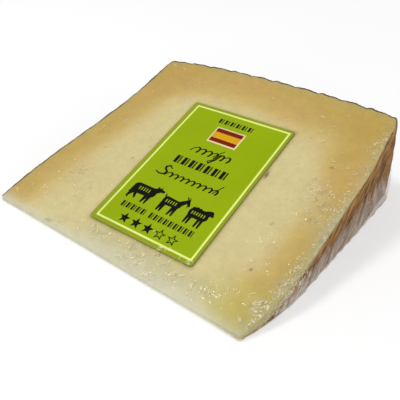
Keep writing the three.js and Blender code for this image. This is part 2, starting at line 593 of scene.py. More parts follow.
@dataclass(frozen=True)
class Finish:
    """A material built from shader nodes."""

    name: str

    def material(self) -> bpy.types.Material:
        """Makes the material."""
        material = bpy.data.materials.new(self.name)
        material.use_nodes = True
        material.node_tree.nodes.clear()
        board = Board(material.node_tree)
        output = board.node("ShaderNodeOutputMaterial")
        board.link(self.shader(board), output.inputs["Surface"])
        return material

    def shader(self, board: "Board") -> Socket:
        """Builds the finish's nodes and gives the shader's socket."""
        raise NotImplementedError


@dataclass(frozen=True)
class Board:
    """A node tree with short ways to place and link its nodes."""

    tree: bpy.types.NodeTree

    def node(self, kind: str, settings: dict[str, object] | None = None,
             **sockets: object) -> bpy.types.Node:
        """Places a node.

        Args:
            kind: The node's type.
            settings: Its own settings by name.
            **sockets: Input values or sockets to link, by input name with underscores for spaces.

        Returns:
            The new node.
        """
        made = self.tree.nodes.new(kind)
        for key, value in (settings or {}).items():
            setattr(made, key, value)
        for key, value in sockets.items():
            self.feed(made.inputs[key.replace("_", " ")], value)
        return made

    def feed(self, socket: Socket, value: object) -> None:
        """Links a socket to an input, or sets the input's value."""
        if isinstance(value, Socket):
            self.tree.links.new(value, socket)
        elif isinstance(value, tuple) and len(value) == 3 and socket.type == "RGBA":
            socket.default_value = (*value, 1)
        else:
            socket.default_value = value

    def link(self, source: Socket, target: Socket) -> None:
        """Links two sockets."""
        self.tree.links.new(source, target)

    def value(self, name: str) -> Socket:
        """Reads one of the mesh's own values."""
        return self.node("ShaderNodeAttribute", {"attribute_name": name}).outputs["Fac"]

    def math(self, operation: str, first: object, second: object = 0.0,
             third: object = 0.0) -> Socket:
        """Does one sum on numbers or sockets."""
        made = self.node("ShaderNodeMath", {"operation": operation})
        for socket, value in zip(made.inputs, (first, second, third)):
            self.feed(socket, value)
        return made.outputs[0]

    def span(self, value: object, low: float, high: float, to_low: float = 0.0,
             to_high: float = 1.0) -> Socket:
        """Maps a number smoothly from one range to another, held at both ends."""
        made = self.node("ShaderNodeMapRange", {"interpolation_type": "SMOOTHSTEP"}, Value=value)
        ends = {"From Min": low, "From Max": high, "To Min": to_low, "To Max": to_high}
        for key, number in ends.items():
            made.inputs[key].default_value = number
        return made.outputs["Result"]

    def ramp(self, value: object, stops: Sequence[tuple[float, Colour]]) -> Socket:
        """Turns a number into a colour by stops along it."""
        made = self.node("ShaderNodeValToRGB", Fac=value)
        elements = made.color_ramp.elements
        while len(elements) < len(stops):
            elements.new(1.0)
        for element, (place, colour) in zip(elements, stops):
            element.position = place
            element.color = (*colour, 1)
        return made.outputs["Color"]

    def tint(self, share: object, first: object, second: object,
             mode: str = "MIX") -> Socket:
        """Mixes two colours by a share."""
        made = self.node("ShaderNodeMix", {"data_type": "RGBA", "blend_type": mode})
        self.feed(made.inputs["Factor"], share)
        self.feed(made.inputs[6], first)
        self.feed(made.inputs[7], second)
        return made.outputs[2]

    def place(self, scale: tuple[float, float, float]) -> Socket:
        """The place on the object, stretched along its axes."""
        source = self.node("ShaderNodeTexCoord").outputs["Object"]
        return self.node("ShaderNodeMapping", Vector=source, Scale=scale).outputs[0]

    def noise(self, place: object, scale: float, detail: float = 2.0, roughness: float = 0.5,
              distortion: float = 0.0) -> Socket:
        """Reads a noise texture as a number."""
        return self.node("ShaderNodeTexNoise", Vector=place, Scale=scale, Detail=detail,
                         Roughness=roughness, Distortion=distortion).outputs["Fac"]

    def bump(self, height: object, strength: object, distance: float,
             normal: object = None) -> Socket:
        """Turns a height into a shading normal."""
        made = self.node("ShaderNodeBump", Height=height, Strength=strength, Distance=distance)
        if normal is not None:
            self.feed(made.inputs["Normal"], normal)
        return made.outputs["Normal"]


@dataclass(frozen=True)
class PasteFinish(Finish):
    """Cut cheese: pale in the middle, golden towards the rind, and greyer close to the rind and at the tip, where it
    is also paler as painted light on the shaded nose; painted shade in the eyes and beside the label.
    """

    pale: Colour = linear(211, 198, 143)
    straw: Colour = linear(208, 189, 130)
    tan: Colour = linear(202, 177, 106)
    golden: Colour = linear(194, 166, 91)
    deep: Colour = linear(187, 157, 73)
    edge: Colour = linear(170, 164, 106)
    # tip: the greyer paste at the tip, partly painted light that brightens the shaded rounded nose.
    tip: Colour = linear(206, 203, 176)
    olive: Colour = linear(190, 184, 92)
    # shade: painted shadow beside the label's edges, and painted shade under the film fold near the tip.
    shade: Colour = linear(140, 126, 60)
    warm: Colour = linear(204, 158, 92)
    # Colour of the painted shade inside the small eyes.
    hole_and_shade: Colour = linear(122, 86, 46)

    def shader(self, board: Board) -> Socket:
        """Builds the paste's nodes."""
        place = board.place((1, 1, 1))
        drift = board.math("SUBTRACT", board.noise(place, 130, 3.0, 0.55), 0.5)
        aged = board.math("ADD", board.value("aged"), board.math("MULTIPLY", drift, 0.22))
        body = board.ramp(aged, [(0.0, self.pale), (0.2, self.straw), (0.45, self.tan), (0.75, self.golden),
                                 (1.0, self.deep)])
        glow = board.math("MULTIPLY", board.span(board.noise(place, 42, 2.0), 0.48, 0.66, 0.0, 0.4), board.value("warm"))
        body = board.tint(glow, body, self.warm)
        body = board.tint(board.value("olive"), body, self.olive)
        body = board.tint(board.value("edge"), body, self.edge)
        # Greyer towards the tip, partly painted light on the shaded nose.
        body = board.tint(board.value("tip"), body, self.tip)
        # Painted shadow beside the label, and painted shade under the film fold near the tip.
        body = board.tint(board.value("shade"), body, self.shade)
        grain = board.noise(place, 800, 3.0, 0.6)
        cloud = board.noise(place, 260, 2.0, 0.5)
        tone = board.math("ADD", board.span(grain, 0.25, 0.75, 0.955, 1.03), board.span(cloud, 0.25, 0.75, -0.045, 0.045))
        toned = board.node("ShaderNodeVectorMath", {"operation": "SCALE"}, Vector=body, Scale=tone).outputs[0]
        # Painted shade inside the eyes.
        colour = board.tint(board.value("hole_and_shade"), toned, self.hole_and_shade)
        relief = board.math("ADD", board.math("MULTIPLY", grain, 0.4), cloud)
        normal = board.bump(relief, 0.25, 0.0004)
        shader = board.node("ShaderNodeBsdfPrincipled", Base_Color=colour, Roughness=0.5, Normal=normal,
                            Specular_IOR_Level=0.15, Subsurface_Weight=0.12, Subsurface_Scale=0.0015)
        shader.inputs["Subsurface Radius"].default_value = (1.0, 0.75, 0.4)
        return shader.outputs["BSDF"]


@dataclass(frozen=True)
class RindFinish(Finish):
    """Brown rind with darker slanting strokes, and painted shade in the hollows of the woven band, darkest where it
    lies deepest.
    """

    light: Colour = linear(182, 136, 74)
    brown: Colour = linear(152, 109, 56)
    # dark: the strokes' darkest brown, also the colour of the painted shade in the woven band's hollows.
    dark: Colour = linear(88, 56, 26)
    crust: Colour = linear(66, 50, 36)
    stroke_slope: float = 0.95

    def shader(self, board: Board) -> Socket:
        """Builds the rind's nodes."""
        place = board.node("ShaderNodeTexCoord").outputs["Object"]
        parts = board.node("ShaderNodeSeparateXYZ", Vector=place).outputs
        sloped = board.math("MULTIPLY", parts["Z"], self.stroke_slope)
        across = board.math("SUBTRACT", board.math("ADD", parts["X"], parts["Y"]), sloped)
        stretched = board.node("ShaderNodeCombineXYZ", X=board.math("MULTIPLY", across, 3.4), Y=parts["Y"],
                               Z=parts["Z"]).outputs[0]
        strokes = board.noise(stretched, 150, 4.0, 0.6, 0.3)
        patches = board.noise(place, 110, 3.0, 0.55)
        body = board.ramp(strokes, [(0.43, self.dark), (0.5, self.brown), (0.57, self.light)])
        body = board.tint(board.span(patches, 0.35, 0.7, 0.0, 0.4), body, self.brown)
        # Painted shade in the woven band's hollows; on the flat faces, darker streaks and darker further down from the
        # top edge.
        colour = board.tint(board.value("sunk"), body, self.dark)
        colour = board.tint(board.value("crust"), colour, self.crust)
        normal = board.bump(strokes, 0.5, 0.0005)
        return board.node("ShaderNodeBsdfPrincipled", Base_Color=colour, Roughness=0.7,
                          Specular_IOR_Level=0.02, Normal=normal).outputs["BSDF"]


@dataclass(frozen=True)
class FilmFinish(Finish):
    """Clear film: see-through with a gloss that grows at a slant, finely creased, milky where it is gathered."""

    milk: Colour = linear(190, 175, 161)
    gloss: Colour = (1.0, 0.97, 0.9)
    roughness: float = 0.14
    head_on: float = 0.04
    grazing: float = 0.96
    pale_milk: Colour = linear(228, 228, 206)
    cream_milk: Colour = linear(212, 190, 134)
    milk_roughness: float = 0.4
    line_width: float = 0.07

    def shader(self, board: Board) -> Socket:
        """Builds the film's nodes."""
        place = board.place((1, 1, 1))
        off_line = board.math("ABSOLUTE", board.math("SUBTRACT", board.noise(place, 400, 1.0, 0.5, 0.8), 0.5))
        line = board.span(off_line, 0.0, self.line_width, 1.0, 0.0)
        chosen = board.span(board.noise(place, 330, 1.0), 0.49, 0.58)
        crease = board.math("MULTIPLY", board.math("MULTIPLY", line, chosen), board.value("crinkle"))
        height = board.math("ADD", crease, board.math("MULTIPLY", board.noise(place, 110, 2.0), 0.5))
        normal = board.bump(height, 1.0, 0.0004)
        clear = board.node("ShaderNodeBsdfTransparent", Color=(0.99, 0.99, 0.985)).outputs[0]
        gloss = board.node("ShaderNodeBsdfAnisotropic", Color=self.gloss, Roughness=self.roughness,
                           Normal=normal).outputs[0]
        facing = board.node("ShaderNodeLayerWeight", Blend=0.5, Normal=normal).outputs["Facing"]
        rise = board.math("MULTIPLY_ADD", board.math("POWER", facing, 5.0), self.grazing, self.head_on)
        skin = self.mix(board, board.math("MULTIPLY", rise, board.value("shine")), clear, gloss)
        tone = board.tint(board.value("pale"), self.milk, self.pale_milk)
        tone = board.tint(board.value("cream"), tone, self.cream_milk)
        milky = board.node("ShaderNodeBsdfPrincipled", Base_Color=tone, Roughness=self.milk_roughness,
                           Specular_IOR_Level=0.2, Normal=normal).outputs["BSDF"]
        shown = board.node("ShaderNodeClamp", Value=board.value("haze"), Min=0.0, Max=0.92).outputs[0]
        return self.mix(board, shown, skin, milky)

    @staticmethod
    def mix(board: Board, share: object, first: object, second: object) -> Socket:
        """Mixes two shaders by a share."""
        made = board.node("ShaderNodeMixShader", Fac=share)
        board.link(first, made.inputs[1])
        board.link(second, made.inputs[2])
        return made.outputs[0]


@dataclass(frozen=True)
class InkFinish(Finish):
    """Printed paper under a clear gloss coat."""

    colour: Colour
    fibre: float = 0.04

    def shader(self, board: Board) -> Socket:
        """Builds the printed paper's nodes."""
        place = board.place((1, 1, 1))
        fibres = board.noise(place, 2400, 2.0, 0.6)
        drift = board.noise(place, 60, 2.0, 0.5)
        tone = board.math("ADD", board.span(fibres, 0.3, 0.7, 1 - self.fibre, 1 + self.fibre),
                          board.span(drift, 0.3, 0.7, -0.03, 0.03))
        base = board.node("ShaderNodeRGB")
        base.outputs[0].default_value = (*self.colour, 1)
        colour = board.node("ShaderNodeVectorMath", {"operation": "SCALE"}, Vector=base.outputs[0], Scale=tone).outputs[0]
        normal = board.bump(board.noise(place, 500, 2.0, 0.5), 0.06, 0.0003)
        return board.node("ShaderNodeBsdfPrincipled", Base_Color=colour, Roughness=0.36, Normal=normal,
                          Specular_IOR_Level=0.06).outputs["BSDF"]


@dataclass(frozen=True)
class Spot:
    """A place on the upper cut face with a width."""

    x: float
    radius: float
    reach: float
    strength: float = 1.0

    def share(self, x: Array, radius: Array) -> Array:
        """Strength at each place, falling off smoothly from the middle."""
        gap = np.hypot(x - self.x, radius - self.radius) / self.reach
        return self.strength * np.exp(-(gap**2))


@dataclass(frozen=True)
class Eye:
    """A small opening in the upper cut face, round or drawn out, with painted shade inside it."""

    x: float
    radius: float
    wide: float
    long: float
    turn: float = 0.0
    dark: float = 0.8

    def share(self, x: Array, radius: Array) -> Array:
        """How much of the opening there is at each place, from 0 to its own darkness, which is painted shade."""
        c, s = math.cos(math.radians(self.turn)), math.sin(math.radians(self.turn))
        across = ((x - self.x) * c + (radius - self.radius) * s) / self.wide
        along = ((radius - self.radius) * c - (x - self.x) * s) / self.long
        return self.dark * np.exp(-((across**2 + along**2) ** 1.5))


@dataclass(frozen=True)
class Cheese:
    """The paste of the wedge, golden towards the rind, with a few small eyes darkened by painted shade."""

    form: WedgeForm
    label: "LabelForm"
    cut_gap: float = 0.25
    side_gap: float = 0.58
    right_rise: float = 0.3
    golden_spots: tuple[Spot, ...] = (Spot(15.0, 27.0, 9.0, 0.22), Spot(9.0, 14.0, 6.0, 0.2), Spot(103.0, 19.0, 8.0, 0.34))
    eyes: tuple[Eye, ...] = (
        Eye(82.0, 58.8, 0.45, 1.9, 8.0, 1.0), Eye(99.5, 71.0, 0.8, 0.5, 20.0, 0.6),
        Eye(98.0, 25.0, 0.5, 0.5, 0.0, 0.8), Eye(94.5, 42.0, 0.8, 0.45, 30.0, 0.5),
        Eye(18.7, 43.5, 0.7, 0.5, 0.0, 0.45), Eye(33.0, 44.0, 0.6, 0.8, 0.0, 0.5),
        Eye(24.5, 90.5, 0.6, 0.9, 40.0, 0.35), Eye(27.0, 84.5, 0.5, 0.5, 0.0, 0.3),
        Eye(35.4, 51.5, 0.9, 0.4, 10.0, 0.4), Eye(97.0, 64.0, 1.0, 0.4, 15.0, 0.35),
        Eye(103.5, 54.5, 0.9, 0.4, 30.0, 0.4), Eye(107.5, 84.5, 1.1, 0.4, 50.0, 0.4),
        Eye(88.0, 84.0, 0.5, 0.4, 0.0, 0.3), Eye(86.5, 80.5, 0.9, 0.35, 0.0, 0.4),
        Eye(71.5, 84.0, 0.4, 0.6, 0.0, 0.3), Eye(21.0, 60.5, 0.6, 0.4, 0.0, 0.3),
        Eye(15.5, 27.5, 0.8, 0.4, 25.0, 0.4), Eye(62.0, 13.5, 0.6, 0.4, 0.0, 0.3),
        Eye(79.5, 12.5, 0.5, 0.5, 0.0, 0.35), Eye(91.0, 12.0, 0.5, 0.7, 0.0, 0.3),
        Eye(100.5, 35.0, 0.5, 0.4, 0.0, 0.3),
    )

    def build(self) -> bpy.types.Object:
        """Makes the paste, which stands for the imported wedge."""
        surface = Shell(self.form, self.side_gap, self.cut_gap, 240, 210, 10).build()
        x, radius, angle = surface.polar()
        cut = surface.values["cut"]
        share = 1 - surface.values["q"]
        plait = self.form.plait_depth(x, radius * angle) * self.form.on_rim(radius)
        surface.points[:, 0] += Rind.slack(self.form, surface)
        surface.points[:, 0] += self.right_rise * smooth(0.96, 1, surface.values["s"]) * smooth(92, 78, radius)
        surface.points[:, 1:] *= ((radius - plait) / radius)[:, None]
        # The eyes: dented in, and darkened with painted shade.
        hole_and_shade = np.zeros(len(x))
        for eye in self.eyes:
            hole_and_shade = np.maximum(hole_and_shade, eye.share(x, radius))
        hole_and_shade *= cut * smooth(0.5, 1.0, share)
        places = surface.points
        wave = 0.04 * Mottle(3).at(places, 9.0) + 0.02 * Mottle(4).at(places, 2.2)
        surface.points = places + surface.normals() * ((wave * cut) - 0.5 * hole_and_shade)[:, None]
        surface.values = {
            "aged": self.aged(x, radius),
            "edge": self.edge(x, radius),
            "olive": 0.55 * smooth(27, 13, radius) * smooth(84, 98, x) * smooth(2, 6, radius),
            "warm": self.aged(x, radius) * np.maximum(smooth(50, 72, radius), smooth(40, 25, x) * smooth(20, 32, radius)),
            # tip: greyer paste towards the tip, partly painted light that brightens the shaded nose.
            "tip": blend(smooth(11, 4.5, radius), smooth(16, 5, radius), smooth(30, 55, x) * smooth(98, 84, x))
                   * (0.9 - 0.45 * smooth(92, 104, x)),
            # shade: painted shadow along the label's edges, and painted shade under the film fold near the tip.
            "shade": np.maximum(0.42 * np.exp(-((self.label.gap(x, radius) / 0.9) ** 2)), self.fold(x, radius)) * cut,
            # Painted shade inside the eyes, which are also dented in.
            "hole_and_shade": np.clip(hole_and_shade * 1.15 - 0.1, 0, 1),
        }
        piece = surface.make("cheese_paste", self.form.axis_place, PasteFinish("cut_paste"), Slot.PASTE)
        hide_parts("wrapped_wedge")
        return piece

    def aged(self, x: Array, radius: Array) -> Array:
        """How golden the paste is.

        Args:
            x: Places along the wheel's axis.
            radius: Distances from the axis.

        Returns:
            0 in the pale middle to 1 in the outer corners.
        """
        form = self.form
        left_reach = 10.5 + 3.5 * smooth(15, 75, radius) + 6.5 * smooth(72, 92, radius)
        right_reach = 9.5 + 6.5 * smooth(55, 78, radius)
        rim_reach = 16.5 + 3.5 * smooth(60, 90, x) + 2.5 * smooth(40, 25, x)
        left = self.front(x - form.left(radius), left_reach, 2.5)
        right = self.front(form.right(radius) - x, right_reach, 2.5)
        rim = self.front(form.rim_radius(x) - radius, rim_reach, 3.0)
        young = (1 - left) * (1 - right) * (1 - rim)
        for spot in self.golden_spots:
            young = young * (1 - spot.share(x, radius))
        return 1 - young

    @staticmethod
    def fold(x: Array, radius: Array) -> Array:
        """Painted shade: how much darker the paste is painted under the small slanting fold of film near the tip."""
        across = np.abs(x - 25.2 - 0.5 * (radius - 6.4)) / 1.5
        return 0.4 * smooth(1.2, 0.8, np.maximum(across, np.abs(radius - 6.4) / 1.3))

    def edge(self, x: Array, radius: Array) -> Array:
        """How much greyer the paste is, close to the rind; most along the right face."""
        form = self.form
        left = 0.55 * np.exp(-(((x - form.left(radius)) / 1.6) ** 2))
        rim = 0.45 * np.exp(-(((form.rim_radius(x) - radius) / 2.4) ** 2))
        right = np.exp(-(((form.right(radius) - x) / 3.2) ** 2)) * (0.35 + 0.4 * smooth(62, 52, radius))
        low = 0.32 * np.exp(-(((radius - 12.5) / 3.5) ** 2)) * smooth(34, 46, x) * smooth(98, 86, x)
        return np.clip(np.maximum.reduce([left, rim, right, low]), 0, 1)

    @staticmethod
    def front(depth: Array, reach: Array, blur: float) -> Array:
        """Share of ageing that has come from one side, down to a depth with a blurred front."""
        return 0.88 / (1 + np.exp((depth - reach) / blur))


@dataclass(frozen=True)
class Rind:
    """The brown rind, a thin skin over both flat faces and the rim."""

    form: WedgeForm
    gap: float = 0.16
    thickness: float = 0.56
    steps: int = 640
    layers: int = 30
    fibre_depth: float = 0.12
    top_edge: float = 0.2
    low_edge: float = 0.3
    bare: float = 0.8
    bare_tip: float = 2.6

    @staticmethod
    def slack(form: WedgeForm, surface: Surface) -> Array:
        """How far the cheese lies back from the gathered film on the flat faces, along x."""
        x, radius, angle = surface.polar()
        side = 2 * surface.values["s"] - 1
        back = form.pleat_depth * form.pleats_shown(radius, angle / form.angle) * (1 - form.on_rim(radius))
        return -np.sign(side) * np.abs(side) ** 24 * back

    def build(self) -> bpy.types.Object:
        """Makes the rind as one thin closed skin."""
        form = self.form
        shares = np.linspace(0, 1, self.steps + 1)
        outer = along_path(inset_path(form.rim_outline(), self.gap), shares)
        inner = along_path(inset_path(form.rim_outline(), self.gap + self.thickness), shares)
        down = spaced(self.layers, 0.3)
        rings = [self.row(outer, q) for q in down] + [self.row(inner, q) for q in down[::-1]]
        count = self.steps + 1
        total = len(rings)
        points = np.concatenate(rings)
        faces = [
            (a * count + k, b * count + k, b * count + k + 1, a * count + k + 1)
            for a, b in ((i, (i + 1) % total) for i in range(total)) for k in range(self.steps)
        ]
        for k, turned in ((0, True), (self.steps, False)):
            for i in range(total // 2 - 1):
                ring = (i * count + k, (total - 1 - i) * count + k, (total - 2 - i) * count + k, (i + 1) * count + k)
                faces.append(ring if turned else ring[::-1])
        q = np.concatenate([down, down[::-1]]).repeat(count)
        s = np.tile(np.where(shares < 0.5, 0.0, 1.0), total)
        surface = Surface(points, faces, {"q": q, "s": s})
        return self.dress(surface, count * len(down))

    def row(self, path: Array, q: float) -> Array:
        """One row of the skin.

        Args:
            path: Its outline as rows of x and radius.
            q: Share of the way down.

        Returns:
            Its points.
        """
        x, radius = path.T
        on_right = smooth(80, 100, x) * smooth(98, 92, radius)
        bare = self.bare * smooth(57, 53, radius) + self.bare_tip * smooth(31, 21, radius)
        wander = (0.08 + 0.08 * on_right) * Mottle(12).at(np.stack([x, radius, 0 * x], 1), 2.6)
        lower = self.low_edge / radius
        upper = self.form.angle - (self.top_edge + on_right * (bare + 0.24) + wander) / radius
        upper = np.maximum(upper, lower + 0.25 / radius)
        angle = lower + (upper - lower) * (1 - q)
        return np.column_stack([x, radius * np.cos(angle), radius * np.sin(angle)])

    def dress(self, surface: Surface, outer: int) -> bpy.types.Object:
        """Presses the woven band and the board's strokes into the skin, paints shade into the band's hollows and makes
        the piece.
        """
        form = self.form
        x, radius, angle = surface.polar()
        arc = radius * angle
        on_rim = form.on_rim(radius)
        plait = form.plait_depth(x, arc)
        row = np.floor((x - form.row_start) / form.row_width)
        across = (x - form.row_start) / form.row_width - row
        lean = np.where(row % 2 == 0, 1, -1)
        fibre = 0.5 + 0.5 * np.cos(2 * np.pi * 4 * (arc + lean * across * form.row_width) / form.strand_pitch)
        board = Mottle(11).ridges(np.stack([(radius - 0.95 * arc) * 3, arc, x], 1), 5.0, 2)
        surface.points[:, 0] += self.slack(form, surface)
        shown = np.arange(len(x)) < outer
        sunk = on_rim * (plait + self.fibre_depth * (1 - fibre) * shown)
        surface.points[:, 1:] *= ((radius - sunk) / radius)[:, None]
        side = np.where(x < form.right_x / 2, 1, -1)
        surface.points[:, 0] += side * 0.12 * board * (1 - on_rim) * shown
        edge = np.minimum(surface.values["q"], 1 - surface.values["q"])
        uneven = 0.72 + 0.28 * np.clip(Mottle(13).at(np.stack([x, radius, 0 * x], 1), 4.0), -1, 1)
        surface.values = {
            # sunk: painted shade in the woven band's hollows; on the flat faces, the board's darker streaks and
            # darkening further down from the top edge.
            "sunk": np.clip(on_rim * (smooth(0.25, 0.6, plait) * 0.75 + 0.25 * (1 - fibre))
                            + (1 - on_rim) * (0.3 * board + 0.28 * smooth(1.5, 7, radius * form.angle - arc)), 0, 1),
            "crust": np.where(shown, smooth(0.02, 0.004, edge), 0.9) * (1 - 0.9 * (1 - on_rim) * (x > 80)) * uneven,
        }
        return surface.make("rind", form.axis_place, RindFinish("pressed_rind"), Slot.RIND)


CRINKLED: tuple[Spot, ...] = (
    Spot(62.0, 11.0, 7.0, 1.0), Spot(74.0, 12.0, 7.0, 1.2), Spot(86.0, 13.0, 6.0, 0.9),
    Spot(94.0, 17.0, 5.0, 0.5), Spot(48.0, 11.0, 6.0, 0.7), Spot(34.0, 13.0, 6.0, 0.35),
    Spot(101.0, 56.0, 6.5, 1.3), Spot(97.0, 65.0, 5.0, 0.7), Spot(106.0, 48.0, 5.0, 0.9),
    Spot(109.0, 24.0, 2.6, 3.0), Spot(106.0, 16.0, 2.4, 2.0), Spot(108.0, 84.0, 4.0, 0.8),
    Spot(18.0, 28.0, 6.0, 1.1), Spot(25.0, 23.0, 6.0, 0.8), Spot(34.0, 52.0, 3.5, 0.5),
    Spot(96.0, 38.0, 6.0, 0.35), Spot(87.0, 82.0, 5.0, 0.35), Spot(26.0, 88.0, 4.0, 0.35),
    Spot(20.0, 60.0, 5.0, 0.3), Spot(99.0, 28.0, 4.0, 0.35),
)


@dataclass(frozen=True)
class Gathers:
    """The film's folds low on the flat faces: where they run, and how far up the film is milky."""

    form: WedgeForm
    tops: tuple[tuple[float, float], ...] = (
        (6.0, 0.3), (13.0, 0.4), (19.0, 0.95), (27.0, 0.9), (33.0, 0.66), (58.0, 0.56), (75.0, 0.55), (92.0, 0.40), (104.0, 0.34),
    )
    lean: float = 0.45
    lean_back: float = -0.6
    lean_from: float = 68.0
    lean_to: float = 90.0

    def across(self, radius: Array, arc: Array) -> Array:
        """Place across the folds in millimetres, the same all along one fold."""
        lean = self.lean + (self.lean_back - self.lean) * smooth(self.lean_from, self.lean_to, radius)
        return radius - lean * arc

    def top(self, radius: Array) -> Array:
        """Share of the wedge's angle up to which the folds reach."""
        return np.interp(radius, *zip(*self.tops))

    def milky(self, radius: Array, arc: Array, seed: int) -> Array:
        """How milky the gathered film is.

        Args:
            radius: Distances from the wheel's axis.
            arc: Heights along the flat face.
            seed: Seed of the pattern.

        Returns:
            0 where the film is clear to about 0.9 on a fold.
        """
        line = np.stack([self.across(radius, arc), 0.12 * arc, 0 * arc + seed], 1)
        finger = Mottle(seed).at(line, 2.6)
        share = arc / (radius * self.form.angle)
        top = self.top(radius)
        low = smooth(0.06, -0.06, share - top - 0.09 * finger)
        streak = Mottle(seed + 1).ridges(line, 5.5)
        deep = 0.17 * np.clip(1 - share / top, 0, 1) + 0.12 * smooth(75, 45, radius) - 0.12 * smooth(42, 30, radius)
        return low * (0.22 + deep + 0.16 * finger + 0.28 * streak)


@dataclass(frozen=True)
class Film:
    """The clear film, tight over the cut faces, crinkled near the edges and gathered low on the sides."""

    form: WedgeForm
    gathers: Gathers
    patches: tuple[Spot, ...]
    plait_share: float = 0.9
    edge_rounds: int = 3
    flare: float = 1.3
    seams: tuple[tuple[float, float], ...] = (
        (8.0, 0.2), (14.0, 0.34), (28.0, 0.4), (36.0, 0.4), (42.0, 0.2), (47.0, 0.12), (52.0, 0.36), (57.0, 0.36),
        (63.0, 0.12), (72.0, 0.05),
    )

    def build(self) -> bpy.types.Object:
        """Makes the film as one closed skin round the cheese."""
        form = self.form
        surface = Shell(form, 0.0, 0.0, 240, 210, 26).build()
        x, radius, angle = surface.polar()
        cut, q, s = (surface.values[k] for k in ("cut", "q", "s"))
        arc = radius * angle
        on_rim = form.on_rim(radius)
        side = 2 * s - 1
        upper = cut * (q < 0.5)
        base = cut * (q > 0.5)
        wall = (1 - cut) * np.abs(side) ** 6 * (1 - on_rim)

        gathered = form.pleats_shown(radius, np.clip(angle / form.angle, 0, 1))
        ridge = np.abs(np.sin(np.pi * form.pleat_phase(radius, arc)))
        uneven = 0.65 + 0.35 * Mottle(27).at(np.stack([radius, x, 0 * x], 1), 9.0)
        pleat = form.pleat_depth * ridge * gathered * (1 - on_rim) * np.clip(uneven, 0.2, 1)
        plait = self.plait_share * form.plait_depth(x, arc) * on_rim
        surface.points[:, 0] -= np.sign(side) * np.abs(side) ** 24 * pleat
        surface.points[:, 1:] *= ((radius - plait) / radius)[:, None]
        surface.relax(np.where(self.rim_of(surface), 0.5, 0.0), self.edge_rounds)

        slack = self.slack(x, radius, surface) * upper
        places = surface.points
        crease = Mottle(21).ridges(places, 3.6, 2)
        wave = Mottle(23).at(places, 11.0)
        milky = self.gathers.milky(radius, arc, 24) * wall
        push = -0.04 * (1 + wave) + 0.06 * slack * crease
        push += wall * (0.22 * milky - 0.08) - base * 0.1 * crease
        push += self.flare * wall * (side > 0) * smooth(72, 94, radius) * smooth(0.7, 0.1, angle / form.angle)
        surface.points = places + surface.normals() * push[:, None]
        surface.points[:, 2] = np.maximum(surface.points[:, 2], 0)

        tip = 0.16 * smooth(form.tip_middle + 2.5, form.tip_middle - 0.6, radius)
        down = radius * form.angle - arc
        seam = np.interp(radius, *zip(*self.seams)) * np.exp(-((down / 1.7) ** 2)) * wall * (side > 0)
        patchy = 1 + 0.5 * Mottle(28).at(np.stack([radius, arc, 0 * arc], 1), 1.5) * smooth(40, 32, radius)
        loose = smooth(36, 42, radius) * smooth(58, 54, radius)
        lip = (0.07 + 0.09 * loose) * np.exp(-(((form.right(radius) - x) / (1.2 + 1.2 * loose)) ** 2)) * cut
        lip = lip * (1 + 0.6 * Mottle(26).at(surface.points, 1.4))
        haze = 0.01 + np.maximum.reduce([milky * patchy, tip, lip, 0.3 * base]) + slack * (0.07 + 0.1 * crease)
        haze = 1 - (1 - haze) * (1 - seam * patchy)
        surface.values = {
            "haze": np.clip(haze, 0, 0.92),
            "pale": np.clip(upper + smooth(form.tip_middle + 5, form.tip_middle + 2, radius), 0, 1),
            "cream": np.clip(3 * seam, 0, 1),
            "crinkle": np.clip(slack + 0.6 * wall + 0.4 * base, 0, 1.2),
            "shine": np.clip(0.9 * upper * smooth(form.tip_middle, form.tip_middle + 3, radius) + 0.05 + 0.4 * milky, 0, 1),
        }
        return surface.make("film", form.axis_place, FilmFinish("wrapping_film"), Slot.FILM)

    def rim_of(self, surface: Surface) -> Array:
        """Which points lie on or next to the edge between a cut face and the wall."""
        edge = np.zeros(len(surface.points), bool)
        for face in surface.faces:
            kinds = [surface.values["cut"][k] for k in face]
            if 0 < sum(kinds) < len(kinds):
                edge[list(face)] = True
        return edge

    def slack(self, x: Array, radius: Array, surface: Surface) -> Array:
        """How loose the film is on the upper cut face.

        Args:
            x: Places along the wheel's axis.
            radius: Distances from the axis.
            surface: The film's surface, with the same points.

        Returns:
            0 where the film clings to 1 where it is loose.
        """
        form = self.form
        total = np.zeros(len(x))
        for patch in self.patches:
            total = np.maximum(total, patch.share(x, radius))
        right = form.right(radius) - x
        total = np.maximum(total, 0.9 * np.exp(-((right / 3.5) ** 2)) * smooth(96, 88, radius))
        total = np.maximum(total, 0.4 * np.exp(-(((radius - form.tip_middle) / 5.0) ** 2)))
        return total * (0.45 + 0.55 * smooth(-0.5, 0.5, Mottle(25).at(surface.points, 7.0)))


@dataclass(frozen=True)
class Crease:
    """A short pinched ridge of film, in the two directions of the face that it lies on."""

    first: float
    second: float
    turn: float
    length: float
    width: float
    height: float
    bend: float = 0.0
    milk: float = 1.0
    stations: int = 8
    points: int = 5
    end: float = 0.97
    bend_middle: float = 0.3
    steepness: float = 1.3

    def grid(self) -> Array:
        """Places of the ridge's points.

        Returns:
            Rows along it, points across it, and three numbers: both directions and the height.
        """
        t = np.linspace(-self.end, self.end, self.stations)[:, None]
        v = np.linspace(-1, 1, self.points)[None, :]
        body = 1 - t**2
        along = 0.5 * self.length * t + 0 * v
        across = 0.5 * self.width * np.sqrt(body) * v + self.bend * (t**2 - self.bend_middle) * self.length
        rise = self.height * body * np.cos(0.5 * np.pi * v) ** self.steepness
        c, s = math.cos(self.turn), math.sin(self.turn)
        first = self.first + along * c - across * s
        second = self.second + along * s + across * c
        return np.stack([first, second, rise], -1)


